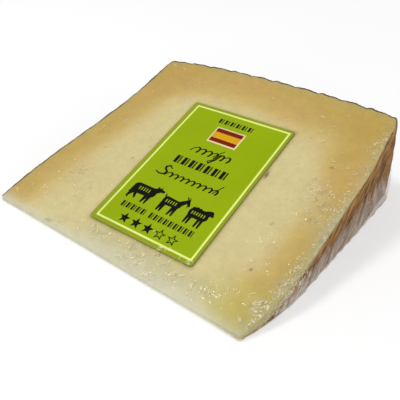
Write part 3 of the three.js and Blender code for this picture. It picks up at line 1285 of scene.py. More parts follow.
@dataclass(frozen=True)
class Creases:
    """The film's small creases that catch the light, with real gloss and painted highlights in their cream milk, and
    the long folds low on both flat faces.
    """

    form: WedgeForm
    gathers: Gathers
    patches: tuple[Spot, ...]
    label: "LabelForm"
    seed: int = 5
    density: float = 0.1
    patch_spread: float = 0.55
    edge_count: int = 170
    edge_near: float = 0.9
    edge_far: float = 2.4
    edge_stray: float = 2.2
    edge_shares: tuple[tuple[float, float], ...] = (
        (10.0, 1.0), (34.0, 1.0), (38.0, 0.3), (46.0, 0.3), (50.0, 1.0), (61.0, 1.0), (65.0, 0.3),
        (74.0, 0.3), (78.0, 0.9), (88.0, 0.9), (98.0, 0.3),
    )
    fold_count: int = 34
    label_spots: tuple[Spot, ...] = (
        Spot(33.5, 0.8, 1.7, 10.0), Spot(42.5, 0.8, 1.2, 5.0), Spot(24.9, 5.9, 0.2, 1.0),
    )
    foam_count: int = 80
    scatter_count: int = 46
    pinches: tuple[Spot, ...] = (
        Spot(107.2, 71.8, 1.5, 1.2), Spot(98.2, 61.2, 1.1), Spot(99.6, 60.2, 1.1),
        Spot(101.0, 60.5, 1.1), Spot(102.5, 63.0, 1.2), Spot(101.2, 51.8, 1.3), Spot(106.0, 54.2, 1.2),
        Spot(108.0, 55.0, 1.1), Spot(106.8, 51.5, 1.1), Spot(98.5, 73.5, 1.1),
        Spot(100.0, 71.2, 1.0, 0.8), Spot(107.8, 59.2, 1.1), Spot(109.6, 32.2, 1.2),
        Spot(109.8, 26.5, 1.2), Spot(109.6, 22.8, 1.2), Spot(109.8, 16.8, 1.2),
        Spot(100.2, 25.8, 1.0, 0.8), Spot(96.4, 24.2, 0.9, 0.7), Spot(92.0, 21.5, 1.0, 0.6),
        Spot(98.0, 17.2, 1.0, 0.8), Spot(95.2, 13.0, 1.1, 0.8), Spot(104.2, 10.0, 1.3, 0.7),
        Spot(96.8, 33.5, 1.1, 0.6), Spot(16.8, 31.5, 1.4, 0.7), Spot(33.5, 39.8, 1.2, 0.7),
        Spot(17.8, 23.8, 1.1, 0.7), Spot(14.8, 15.5, 1.0, 0.8), Spot(23.2, 23.2, 1.0, 0.7),
        Spot(15.5, 58.8, 0.9, 0.7), Spot(25.8, 65.0, 0.8, 0.6), Spot(43.5, 12.0, 1.2, 0.9),
        Spot(37.8, 13.2, 0.8), Spot(38.0, 10.0, 0.8), Spot(28.2, 25.2, 0.9, 0.7), Spot(56.5, 11.2, 1.1),
        Spot(63.0, 10.0, 1.2), Spot(65.5, 7.8, 1.1), Spot(78.0, 87.5, 1.2, 0.6),
        Spot(91.0, 88.5, 1.2, 0.5), Spot(93.5, 77.2, 1.0, 0.5), Spot(73.8, 84.5, 1.1, 0.6),
        Spot(109.0, 85.8, 1.2, 0.9), Spot(108.6, 82.5, 1.2, 0.9),
    )
    hems: tuple[Crease, ...] = (
        Crease(27.3, 3.4, 1.03, 7.4, 0.7, 0.3, 0.05, 1.4), Crease(30.6, 3.0, 1.1, 4.6, 0.45, 0.2, 0.04, 1.2),
        Crease(24.4, 2.2, 0.95, 4.4, 0.5, 0.2, -0.05, 1.2),
    )
    long_marks: tuple[Crease, ...] = (
        Crease(43.4, 12.2, 1.96, 6.4, 0.8, 0.06, 0.04, 0.6), Crease(45.2, 12.6, 2.44, 4.6, 0.7, 0.05, -0.04, 0.6),
    )
    # pale and white: painted highlights, the cream milk of the creases on the face and the whiter milk of those on the
    # label.
    pale: Colour = linear(252, 236, 194)
    fold_pale: Colour = linear(236, 222, 210)
    white: Colour = linear(250, 250, 238)
    gloss: Colour = (1.0, 0.92, 0.76)
    gloss_roughness: float = 0.24
    head_on: float = 0.08
    painted_glint_haze: float = 0.8
    fold_haze: float = 0.6
    most_haze: float = 0.92
    fade: float = 1.2
    sink: float = 0.03
    pleat_share: float = 0.7
    radius_steps: int = 6
    lengths: tuple[float, float] = (0.8, 2.4)
    widths: tuple[float, float] = (0.3, 0.62)
    heights: tuple[float, float] = (0.05, 0.1)
    painted_glint_shares: tuple[float, float] = (0.35, 1.0)
    turn_spread: float = 0.3
    bend_spread: float = 0.22
    place_spread: float = 0.15
    apart: float = 0.45
    tip_from: float = 6.0
    tip_to: float = 18.0
    tip_width: float = 1.4
    tip_painted_glint_share: float = 0.35
    tip_scale: float = 1.3
    tip_turn_spread: float = 0.5

    def build(self) -> None:
        """Makes the creases on the cut face, the label and the right face, and the folds on both flat faces."""
        rng = np.random.default_rng(self.seed)
        glints = [(c, self.on_cut) for c in self.face_creases(rng)]
        glints += [(c, self.on_label) for c in self.label_creases(rng)]
        glints += [(c, self.on_right) for c in self.foam(rng)]
        # The creases have real gloss, and their cream milk is a painted highlight.
        film = FilmFinish("film_creases", milk=self.pale, pale_milk=self.white, gloss=self.gloss,
                          roughness=self.gloss_roughness, head_on=self.head_on, grazing=0.0)
        self.piece("film_creases", glints, self.painted_glint_haze, film)
        folds = [(c, self.on_right) for c in (*self.hems, *self.folds(rng))]
        folds += [(c, self.on_left) for c in self.folds(rng)]
        self.piece("film_folds", folds, self.fold_haze, FilmFinish("film_folds", milk=self.fold_pale))

    def piece(self, name: str, placed: list[tuple[Crease, Callable[..., Array]]], haze: float,
              finish: FilmFinish) -> bpy.types.Object:
        """Makes some creases as one mesh of small closed ridges.

        Args:
            name: Name of the piece.
            placed: Each crease with the function that places it.
            haze: How milky they are.
            finish: What their surface is.

        Returns:
            The new object.
        """
        points: list[Array] = []
        shown: list[Array] = []
        white: list[Array] = []
        faces: list[tuple[int, ...]] = []
        for crease, place in placed:
            grid = crease.grid()
            rows, count = grid.shape[:2]
            # Painted white highlight on the creases that lie on the label.
            white.append(np.full(rows * count, 1.0 if place == self.on_label else 0.0))
            start = sum(len(p) for p in points)
            points.append(place(*grid.reshape(-1, 3).T))
            shown.append(crease.milk * np.clip(grid[..., 2].ravel() / crease.height, 0, 1) ** self.fade)
            ring = self.ridge_faces(rows, count, start)
            faces += [f[::-1] for f in ring] if place == self.on_left else ring
        total = np.concatenate(points)
        share = np.concatenate(shown)
        values = {
            "haze": np.clip(haze * share, 0, self.most_haze),
            "shine": np.clip(share, 0, 1),
            "pale": np.concatenate(white),
        }
        return Surface(total, faces, values).make(name, self.form.axis_place, finish, Slot.FILM)

    @staticmethod
    def ridge_faces(rows: int, count: int, start: int) -> list[tuple[int, ...]]:
        """Faces of one closed ridge.

        Args:
            rows: Rows along it.
            count: Points across it.
            start: Number of its first point in the mesh.

        Returns:
            The faces, outwards.
        """
        def at(i: int, j: int) -> int:
            """Number of a point of the ridge."""
            return start + i * count + j

        faces = [
            (at(i, j), at(i + 1, j), at(i + 1, j + 1), at(i, j + 1))
            for i in range(rows - 1) for j in range(count - 1)
        ]
        last = count - 1
        faces += [(at(i, 0), at(i, last), at(i + 1, last), at(i + 1, 0)) for i in range(rows - 1)]
        faces.append(tuple(at(0, j) for j in range(count)))
        faces.append(tuple(at(rows - 1, j) for j in range(count - 1, -1, -1)))
        return faces

    def on_cut(self, x: Array, slope: Array, rise: Array) -> Array:
        """Turns places on the upper cut face into places in the wheel's own frame.

        Args:
            x: Places along the wheel's axis.
            slope: Distances up the face from the axis.
            rise: Heights over the face.

        Returns:
            The places, one a row.
        """
        angle = self.form.angle
        height = rise - self.sink
        y = slope * math.cos(angle) - height * math.sin(angle)
        z = slope * math.sin(angle) + height * math.cos(angle)
        return np.stack([x, y, z], 1)

    def on_label(self, u: Array, v: Array, rise: Array) -> Array:
        """Turns places on the label into places in the wheel's own frame."""
        return self.label.place(u, v, self.label.rise(u, v) + rise)

    def on_right(self, across: Array, arc: Array, rise: Array) -> Array:
        """Turns places on the folds of the right flat face into places in the wheel's own frame.

        Args:
            across: Places across the folds.
            arc: Heights along the face.
            rise: Heights over the face.

        Returns:
            The places, one a row.
        """
        radius = self.radius_of(across, arc)
        x = self.form.right(radius) - self.sunk(radius, arc) + rise
        return np.stack([x, radius * np.cos(arc / radius), radius * np.sin(arc / radius)], 1)

    def on_left(self, across: Array, arc: Array, rise: Array) -> Array:
        """Turns places on the folds of the left flat face into places, where faces turn inside out.

        Args:
            across: Places across the folds.
            arc: Heights along the face.
            rise: Heights over the face.

        Returns:
            The places, one a row.
        """
        radius = self.radius_of(across, arc)
        x = self.form.left(radius) + self.sunk(radius, arc) - rise
        return np.stack([x, radius * np.cos(arc / radius), radius * np.sin(arc / radius)], 1)

    def sunk(self, radius: Array, arc: Array) -> Array:
        """How deep the film's pleats lie on a flat face.

        Args:
            radius: Distances from the wheel's axis.
            arc: Heights along the face.

        Returns:
            The depth at each place.
        """
        form = self.form
        shown = form.pleats_shown(radius, arc / radius / form.angle)
        depth = self.pleat_share * form.pleat_depth
        return depth * np.abs(np.sin(np.pi * form.pleat_phase(radius, arc))) * shown

    def radius_of(self, across: Array, arc: Array) -> Array:
        """Finds places along the folds, in a few steps.

        Args:
            across: Places across the folds.
            arc: Heights along the face.

        Returns:
            Their distances from the wheel's axis.
        """
        radius = across.copy()
        for _ in range(self.radius_steps):
            radius += across - self.gathers.across(radius, arc)
        return radius

    def face_creases(self, rng: np.random.Generator) -> list[Crease]:
        """Creases on the upper cut face, in patches and along the right edge.

        Args:
            rng: Source of seeded chance.

        Returns:
            The creases that lie beside the label and inside the edges.
        """
        made = []
        for patch in self.patches:
            for _ in range(int(self.density * patch.strength * patch.reach**2 * 2.0)):
                gap = rng.normal(0, self.patch_spread, 2) * patch.reach
                x, radius = patch.x + gap[0], patch.radius + gap[1]
                if radius < self.tip_to:
                    turn = rng.normal(math.pi / 2, self.tip_turn_spread)
                    made += self.pinch(rng, x, radius, turn, self.tip_scale)
                else:
                    made += self.pinch(rng, x, radius, rng.uniform(0, math.pi), 1.0)
        for spot in self.pinches:
            made += self.pinch(rng, spot.x, spot.radius, rng.uniform(0.6, 2.2), spot.reach, spot.strength)
        for _ in range(self.edge_count):
            radius = rng.uniform(10, 100)
            if rng.random() > np.interp(radius, *zip(*self.edge_shares)):
                continue
            far = self.edge_far + self.edge_stray * rng.random()
            x = float(self.form.right(np.array(radius))) - rng.uniform(self.edge_near, far)
            made += self.pinch(rng, x, radius, rng.uniform(0, math.pi), 0.8)
        for _ in range(self.scatter_count):
            made += self.pinch(rng, rng.uniform(4, 107), rng.uniform(10, 98), rng.uniform(0, math.pi), 1.5)
        return [*self.long_marks, *(c for c in made if self.free(c))]

    def pinch(self, rng: np.random.Generator, x: float, radius: float, turn: float, scale: float,
              milk: float = 0.0) -> list[Crease]:
        """Draws one or two creases side by side, where the film is pinched.

        Args:
            rng: Source of seeded chance.
            x: Their place in the face's first direction.
            radius: Their place in its second direction.
            turn: Which way they run, in radians.
            scale: How large they are.
            milk: How milky they are, which paints their highlight, or 0 to draw it.

        Returns:
            The creases.
        """
        made = []
        near_tip = self.tip_from < radius < self.tip_to
        across = np.array([-math.sin(turn), math.cos(turn)])
        for side in (-1, 1)[: rng.integers(1, 3)]:
            length = scale * rng.uniform(*self.lengths)
            width = rng.uniform(*self.widths) * (self.tip_width if near_tip else 1)
            shift = rng.normal(0, self.place_spread * scale, 2) + self.apart * side * across
            first, second = x + shift[0], radius + shift[1]
            turned = turn + rng.normal(0, self.turn_spread)
            height = width * rng.uniform(*self.heights)
            bend = rng.normal(0, self.bend_spread)
            shown = milk or rng.uniform(*self.painted_glint_shares) + self.tip_painted_glint_share * near_tip
            made.append(Crease(first, second, turned, length, width, height, bend, shown))
        return made

    def foam(self, rng: np.random.Generator) -> list[Crease]:
        """Draws short creases close together on the right flat face near the tip.

        Args:
            rng: Source of seeded chance.

        Returns:
            The creases above the lower edge.
        """
        made = []
        for _ in range(self.foam_count):
            radius = rng.uniform(11, 33)
            arc = radius * self.form.angle - rng.uniform(0.1, 3.4)
            made += self.pinch(rng, radius - self.gathers.lean * arc, arc, rng.uniform(0, math.pi), 0.6)
        return [c for c in made if c.second > 0.4]

    def free(self, crease: Crease) -> bool:
        """Tells whether a crease lies on the cut face and beside the label.

        Args:
            crease: The crease.

        Returns:
            True if its middle does.
        """
        x, radius = np.array(crease.first), np.array(crease.second)
        left, right = self.form.left(radius) + 0.8, self.form.right(radius) - 0.7
        return bool(left < x < right and radius > 7.0 and self.label.gap(x, radius) > 0.8)

    def label_creases(self, rng: np.random.Generator) -> list[Crease]:
        """Draws a few creases at the loose lower edge of the label.

        Args:
            rng: Source of seeded chance.

        Returns:
            The creases that lie on the paper.
        """
        made = []
        for spot in self.label_spots:
            for _ in range(int(spot.strength)):
                u = spot.x + rng.normal(0, spot.reach)
                v = spot.radius + rng.normal(0, spot.reach * 0.4)
                made += self.pinch(rng, u, v, rng.normal(0.3, 0.5), 0.8, 0.9)
        return [c for c in made if 0.5 < c.first < self.label.width - 0.5 and c.second > 0.3]

    def folds(self, rng: np.random.Generator) -> list[Crease]:
        """Long folds that run up a flat face from the base.

        Args:
            rng: Source of seeded chance.

        Returns:
            The folds, as creases in the directions across and up the face.
        """
        made = []
        for k in range(self.fold_count):
            across = 12 + 82 * (k + rng.uniform(-0.4, 0.4)) / self.fold_count
            reach = float(self.gathers.top(np.array(across))) * across * self.form.angle
            length = reach * rng.uniform(0.45, 1.0)
            middle = 0.3 + length / 2 + rng.uniform(0, 0.25) * (reach - length)
            turn = math.pi / 2 + rng.normal(0, 0.2)
            width, height = rng.uniform(0.3, 0.65), rng.uniform(0.14, 0.28)
            made.append(Crease(across, middle, turn, length, width, height, rng.normal(0, 0.12)))
        return made


@dataclass(frozen=True)
class LabelForm:
    """Place and size of the label on the upper cut face, as in the part's own drawing."""

    form: WedgeForm
    width: float = 44.0
    height: float = 63.6
    corner: float = 1.0
    turn: float = math.radians(1.4)
    x: float = 38.2
    up_slope: float = 15.5
    lift: float = 0.16
    thickness: float = 0.14

    def rise(self, u: Array, v: Array) -> Array:
        """Height of the paper's upper side over the cut face, with slight waves and a loose lower edge."""
        places = np.stack([u, v, np.zeros(len(u))], 1)
        wave = 0.04 * Mottle(31).at(places, 16.0)
        lower = smooth(3.5, 0.0, v) * smooth(22, 32, u)
        crumple = 0.07 * Mottle(32).at(places, 4.0) * lower
        return self.lift + self.thickness + wave + crumple

    def gap(self, x: Array, radius: Array) -> Array:
        """How far places on the upper cut face lie outside the label.

        Args:
            x: Places along the wheel's axis.
            radius: Distances from the axis.

        Returns:
            The distance, 0 on the label.
        """
        across, up = x - self.x, radius - self.up_slope
        u = across * math.cos(self.turn) + up * math.sin(self.turn)
        v = up * math.cos(self.turn) - across * math.sin(self.turn)
        beside = np.maximum(np.maximum(-u, u - self.width), 0)
        return np.hypot(beside, np.maximum(np.maximum(-v, v - self.height), 0))

    def place(self, u: Array, v: Array, height: Array) -> Array:
        """Turns places on the label into places in the wheel's own frame.

        Args:
            u: Places across the label.
            v: Places up the label.
            height: Heights over the cut face.

        Returns:
            The places, one a row.
        """
        x = self.x + u * math.cos(self.turn) - v * math.sin(self.turn)
        slope = self.up_slope + u * math.sin(self.turn) + v * math.cos(self.turn)
        angle = self.form.angle
        y = slope * math.cos(angle) - height * math.sin(angle)
        z = slope * math.sin(angle) + height * math.cos(angle)
        return np.stack([x, y, z], 1)


def rectangle(left: float, low: float, right: float, high: float) -> Outline:
    """A box on the label."""
    return [(left, low), (right, low), (right, high), (left, high)]


def rounded_box(left: float, low: float, right: float, high: float, corner: float) -> Outline:
    """A box with round corners on the label.

    Args:
        left: Its left edge.
        low: Its lower edge.
        right: Its right edge.
        high: Its upper edge.
        corner: Radius of its corners.

    Returns:
        The box's outline, anticlockwise.
    """
    middles = ((right - corner, low + corner, -90), (right - corner, high - corner, 0),
               (left + corner, high - corner, 90), (left + corner, low + corner, 180))
    turns = [(x, y, math.radians(start + turn)) for x, y, start in middles for turn in (0, 30, 60, 90)]
    return [(x + corner * math.cos(t), y + corner * math.sin(t)) for x, y, t in turns]


def limb(*discs: Disc) -> Outline:
    """The smooth outline round some discs, such as a leg, a neck or a body.

    Args:
        *discs: Middle and radius of each disc.

    Returns:
        The outline's corners, anticlockwise.
    """
    turns = np.arange(DISC_POINTS) * 2 * math.pi / DISC_POINTS
    cloud = [(x + r * math.cos(t), y + r * math.sin(t)) for x, y, r in discs for t in turns]
    cloud.sort()

    def turned_left(a: tuple[float, float], b: tuple[float, float], c: tuple[float, float]) -> bool:
        """Whether the way from a over b to c turns left."""
        return (b[0] - a[0]) * (c[1] - a[1]) - (b[1] - a[1]) * (c[0] - a[0]) > TINY

    def chain(points: list[tuple[float, float]]) -> Outline:
        """Outer points of one half of the outline, without its last."""
        kept: Outline = []
        for p in points:
            while len(kept) > 1 and not turned_left(kept[-2], kept[-1], p):
                kept.pop()
            kept.append(p)
        return kept[:-1]

    return chain(cloud) + chain(cloud[::-1])


def stroke(points: Sequence[tuple[float, float]], width: float) -> list[Outline]:
    """A pen stroke through some points, thin upwards and thick downwards.

    Args:
        points: The points that the pen goes through.
        width: Width of the pen.

    Returns:
        A run of limbs.
    """
    run = []
    for (ax, ay), (bx, by) in zip(points, points[1:]):
        steep = abs(by - ay) / (math.hypot(bx - ax, by - ay) + TINY)
        pen = width * (0.62 + (0.38 * steep if by < ay else -0.12 * steep))
        run.append(limb((ax, ay, pen / 2), (bx, by, pen / 2)))
    return run


def star(x: float, y: float, radius: float, waist: float = 0.42) -> Outline:
    """A star with five points, one of them up.

    Args:
        x: Its middle across the label.
        y: Its middle up the label.
        radius: Radius of its points.
        waist: Share of that radius at which the points meet.

    Returns:
        Its outline, anticlockwise.
    """
    reach = [(k, radius if k % 2 == 0 else radius * waist) for k in range(9, -1, -1)]
    return [(x + r * math.sin(math.pi * k / 5), y + r * math.cos(math.pi * k / 5)) for k, r in reach]


def flourish(left: float, right: float, low: float, height: float, loops: int, slant: float = 0.45,
             steps: int = 14) -> list[tuple[float, float]]:
    """A run of slanting pen loops between two ends, as a plain ornament in place of writing.

    Args:
        left: Where the run starts.
        right: Where it ends.
        low: Its lower edge.
        height: Height of the loops.
        loops: How many there are.
        slant: How far they lean, as a share of their height.
        steps: How many points a loop has.

    Returns:
        The points that the pen goes through.
    """
    swing = 0.26 * height
    points = []
    for k in range(loops * steps + 1):
        t = 2 * math.pi * k / steps
        rise = (1 - math.cos(t)) / 2
        x = left + (right - left) * k / (loops * steps) - swing * math.sin(t) + slant * height * rise
        points.append((x, low + height * rise))
    return points


@dataclass(frozen=True)
class Plate:
    """A thin flat piece on the label: outlines that are joined, less outlines that are cut out."""

    name: str
    colour: Colour
    outlines: tuple[Outline, ...]
    cuts: tuple[Outline, ...] = ()
    over: float = 0.02
    depth: float = 0.015
    mesh_size: float = 1.6
    slot: Slot = Slot.PRINT
    fibre: float = 0.03

    def build(self, label: LabelForm) -> bpy.types.Object:
        """Makes the piece on the label's upper side.

        Args:
            label: The label that it lies on.

        Returns:
            The new object.
        """
        flat, triangles = self.flat_mesh()
        u, v = flat.T
        top = label.rise(u, v) + self.over
        upper = label.place(u, v, top)
        lower = label.place(u, v, top - self.depth)
        count = len(flat)
        sides = {(a, b) for t in triangles for a, b in ((t[0], t[1]), (t[1], t[2]), (t[2], t[0]))}
        faces = list(triangles)
        faces += [tuple(k + count for k in t[::-1]) for t in triangles]
        faces += [(b, a, a + count, b + count) for a, b in sides if (b, a) not in sides]
        surface = Surface(np.concatenate([upper, lower]), faces, {})
        return surface.make(self.name, label.form.axis_place, InkFinish(self.name, self.colour, self.fibre), self.slot)

    def flat_mesh(self) -> tuple[Array, list[tuple[int, ...]]]:
        """Triangles of the joined outlines, small enough to follow the paper.

        Returns:
            The points as rows of u and v, and the triangles, anticlockwise.
        """
        points: list[Vector] = []
        rings: list[list[int]] = []
        for outline in map(self.split, (*self.outlines, *self.cuts)):
            rings.append(list(range(len(points), len(points) + len(outline))))
            points += [Vector(p) for p in outline]
        low = np.min([tuple(p) for p in points], axis=0)
        high = np.max([tuple(p) for p in points], axis=0)
        for u in np.arange(low[0] + self.mesh_size / 2, high[0], self.mesh_size):
            points += [Vector((u, v)) for v in np.arange(low[1] + self.mesh_size / 2, high[1], self.mesh_size)]
        spots, _, triangles, _, _, owners = delaunay_2d_cdt(points, [], rings, 1, 1e-5)
        joined = len(self.outlines)
        inked = [tuple(t) for t, own in zip(triangles, owners) if own and all(k < joined for k in own)]
        used = sorted({k for t in inked for k in t})
        number = {old: new for new, old in enumerate(used)}
        flat = np.array([tuple(spots[k]) for k in used])
        return flat, [tuple(number[k] for k in t) for t in inked]

    def split(self, outline: Outline) -> Outline:
        """Adds points along the long sides of an outline, so that it can follow the paper.

        Args:
            outline: The outline's corners.

        Returns:
            The corners with the points between them.
        """
        points = []
        for (ax, ay), (bx, by) in zip(outline, outline[1:] + outline[:1]):
            count = max(1, math.ceil(math.hypot(bx - ax, by - ay) / self.mesh_size))
            points += [(ax + (bx - ax) * k / count, ay + (by - ay) * k / count) for k in range(count)]
        return points


@dataclass(frozen=True)
class Beast:
    """A farm animal's outline, made of limbs, with a row of small slits in its flank."""

    limbs: tuple[Outline, ...]
    slits: tuple[Outline, ...]


def slits(left: float, low: float, count: int, pitch: float, high: float) -> tuple[Outline, ...]:
    """A row of narrow upright slits."""
    starts = [left + k * pitch for k in range(count)]
    return tuple(rectangle(start, low, start + SLIT_WIDTH, low + high) for start in starts)


def cow() -> Beast:
    """A standing cow that faces right."""
    return Beast((
        limb((7.3, 18.4, 1.55), (7.4, 17.0, 1.6), (13.9, 17.6, 1.9), (13.2, 18.3, 1.6)),
        limb((13.6, 18.3, 1.5), (15.9, 19.7, 0.95)), limb((15.6, 19.9, 0.9), (17.7, 19.9, 0.5)),
        limb((14.9, 20.3, 0.35), (15.0, 21.2, 0.15)), limb((16.0, 20.5, 0.3), (16.6, 21.3, 0.12)),
        limb((6.2, 18.9, 0.5), (5.7, 15.0, 0.3)), limb((7.0, 16.4, 1.1), (6.0, 13.3, 0.38)),
        limb((7.9, 16.2, 0.8), (9.0, 13.6, 0.36)), limb((13.0, 16.4, 0.9), (12.5, 13.0, 0.36)),
        limb((14.2, 16.6, 0.7), (14.1, 13.0, 0.36)), limb((6.0, 13.1, 0.3), (6.4, 12.9, 0.3)),
    ), slits(8.2, 17.2, 5, 1.05, 1.5))


def goat() -> Beast:
    """A standing goat that faces right, with horns and a beard."""
    return Beast((
        limb((20.6, 17.9, 1.35), (20.6, 16.9, 1.3), (25.6, 17.4, 1.45)),
        limb((25.9, 18.0, 1.1), (28.0, 20.2, 0.7)), limb((28.1, 20.2, 0.75), (29.3, 18.8, 0.4)),
        limb((28.0, 20.7, 0.3), (27.2, 21.6, 0.2), (26.9, 21.9, 0.12)),
        limb((28.5, 20.8, 0.22), (28.0, 21.9, 0.1)),
        limb((29.0, 18.6, 0.22), (28.9, 17.8, 0.1)), limb((19.5, 18.9, 0.3), (19.1, 19.9, 0.15)),
        limb((20.2, 16.5, 0.9), (19.7, 12.9, 0.34)), limb((20.9, 16.2, 0.7), (21.0, 12.8, 0.34)),
        limb((25.0, 16.5, 0.8), (24.4, 12.8, 0.34)), limb((25.8, 16.6, 0.7), (25.9, 12.8, 0.34)),
    ), slits(20.6, 16.8, 5, 1.0, 1.35))


def sheep() -> Beast:
    """A standing sheep that faces right, with a woolly back."""
    wool = tuple(limb((31.6 + 1.15 * k, 18.9 + 0.25 * math.sin(1.3 * k), 0.75)) for k in range(6))
    return Beast((
        limb((31.9, 17.6, 1.55), (32.0, 16.8, 1.5), (36.6, 17.0, 1.6), (36.5, 18.2, 1.4)), *wool,
        limb((36.8, 18.6, 1.3), (38.0, 19.3, 1.05)), limb((38.1, 19.3, 0.85), (39.0, 18.6, 0.4)),
        limb((31.4, 16.2, 0.65), (31.2, 12.8, 0.32)), limb((32.5, 16.2, 0.65), (32.4, 12.7, 0.32)),
        limb((35.7, 16.2, 0.6), (35.5, 12.7, 0.32)), limb((36.8, 16.2, 0.6), (36.9, 12.6, 0.32)),
    ), slits(31.6, 16.7, 6, 0.95, 1.3))


@dataclass(frozen=True)
class Label:
    """The green paper label with its printed shapes, which have no lettering."""

    form: LabelForm
    edge_green: Colour = linear(142, 154, 34)
    green: Colour = linear(144, 167, 8)
    line: Colour = linear(226, 240, 130)
    black: Colour = linear(14, 16, 8)
    white: Colour = linear(232, 216, 160)
    red: Colour = linear(124, 24, 6)
    yellow: Colour = linear(214, 160, 18)
    field: Box = (2.2, 2.0, 42.5, 62.0)
    frame_out: Box = (1.85, 1.55, 42.95, 62.4)
    frame_in: Box = (2.65, 2.35, 42.15, 61.6)
    block_edge: Box = (16.4, 47.0, 28.9, 55.0)
    block_reds: tuple[Box, ...] = ((17.0, 52.6, 28.2, 54.4), (17.0, 47.7, 28.2, 49.5))
    block_yellow: Box = (17.0, 49.5, 28.2, 52.6)
    star_start: float = 12.3
    star_pitch: float = 5.1
    star_row: float = 5.05
    star_radius: float = 2.3
    star_cut: float = 0.62

    def build(self) -> None:
        """Makes the paper and every printed shape."""
        outline = rounded_box(0, 0, self.form.width, self.form.height, self.form.corner)
        paper = Plate("label_paper", self.edge_green, (outline,), over=0.0, depth=self.form.thickness,
                      mesh_size=0.9, slot=Slot.LABEL)
        frame_out, frame_in = rectangle(*self.frame_out), rectangle(*self.frame_in)
        reds = tuple(rectangle(*box) for box in self.block_reds)
        plates = [
            paper,
            Plate("label_field", self.green, (rectangle(*self.field),), over=0.022, mesh_size=0.9),
            Plate("label_line", self.line, (frame_out,), (frame_in,), over=0.044),
            Plate("label_block_edge", self.white, (rectangle(*self.block_edge),), over=0.044),
            Plate("label_block_red", self.red, reds, over=0.066),
            Plate("label_block_yellow", self.yellow, (rectangle(*self.block_yellow),), over=0.066),
            Plate("label_ink", self.black, tuple(self.ink()), tuple(self.ink_cuts()), over=0.05, mesh_size=1.2),
        ]
        for plate in plates:
            piece = plate.build(self.form)
            if plate is paper:
                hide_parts("label")

    def ink(self) -> list[Outline]:
        """Draws every black shape: rows of bars, pen flourishes, animals and stars.

        Returns:
            Their outlines.
        """
        shapes = self.bars(15.1, 29.8, 56.9, 2.2, 6, 0.5)
        shapes += self.bars(11.3, 33.7, 33.2, 3.6, 7, 0.56)
        shapes += self.bars(7.0, 17.6, 8.7, 2.35, 5, 0.5) + self.bars(19.4, 37.6, 8.7, 2.35, 9, 0.5)
        shapes += stroke(flourish(13.9, 29.6, 40.5, 2.5, 6), 0.74)
        shapes += stroke([(23.6, 41.0), (24.8, 42.8), (26.2, 44.8)], 0.7)
        shapes += stroke([(26.2, 42.6), (25.2, 40.0), (23.6, 37.8), (22.9, 38.4), (24.6, 40.0)], 0.7)
        shapes += stroke(flourish(12.6, 34.4, 26.6, 1.9, 9), 0.72)
        shapes += stroke([(13.4, 30.2), (12.2, 31.1), (10.9, 30.2), (11.2, 29.2), (12.6, 28.2), (12.2, 26.9),
                          (10.2, 26.4), (8.5, 27.0)], 0.85)
        shapes += stroke([(33.3, 26.7), (34.4, 29.0), (35.3, 30.8)], 0.7)
        for beast in (cow(), goat(), sheep()):
            shapes += beast.limbs
        for k in range(5):
            shapes.append(star(self.star_start + self.star_pitch * k, self.star_row, self.star_radius))
        return shapes

    def ink_cuts(self) -> list[Outline]:
        """Draws what is left out of the black: the animals' slits and the middles of two stars.

        Returns:
            Their outlines.
        """
        cuts = [s for beast in (cow(), goat(), sheep()) for s in beast.slits]
        for k in (3, 4):
            middle = self.star_start + self.star_pitch * k
            cuts.append(star(middle, self.star_row, self.star_radius * self.star_cut, 0.4))
        return cuts

    @staticmethod
    def bars(left: float, right: float, low: float, height: float, count: int, share: float) -> list[Outline]:
        """A row of upright bars, each with a thin one beside it.

        Args:
            left: Where the row starts.
            right: Where it ends.
            low: Its lower edge.
            height: Height of the bars.
            count: How many pairs there are.
            share: Share of the row that is ink.

        Returns:
            One outline a bar.
        """
        pitch = (right - left) / (count - 0.2)
        made = []
        for k in range(count):
            start = left + k * pitch
            made.append(rectangle(start, low, start + 0.72 * share * pitch, low + height))
            thin = start + 0.54 * pitch
            made.append(rectangle(thin, low, start + (0.54 + 0.28 * share) * pitch, low + height))
        return made


@dataclass(frozen=True)
class Lamp:
    """A soft square studio light that points at the wedge."""

    name: str
    azimuth: float
    elevation: float
    distance: float
    size: float
    radiance: float

    def build(self) -> None:
        """Places the light, with its direction in degrees as the camera's."""
        data = bpy.data.lights.new(self.name, "AREA")
        data.shape = "SQUARE"
        data.size = self.size
        data.energy = self.radiance * math.pi * self.size**2
        lamp = bpy.data.objects.new(self.name, data)
        back = direction(self.azimuth, self.elevation)
        lamp.location = back * self.distance
        lamp.rotation_mode = "QUATERNION"
        lamp.rotation_quaternion = (-back).to_track_quat("-Z", "Y")
        bpy.context.scene.collection.objects.link(lamp)


def direction(azimuth: float, elevation: float) -> Vector:
    """The direction from the wedge to a viewer; azimuth 0 looks along +Y and 90 along -X, in degrees."""
    a, e = math.radians(azimuth), math.radians(elevation)
    return Vector((math.sin(a) * math.cos(e), -math.cos(a) * math.cos(e), math.sin(e)))


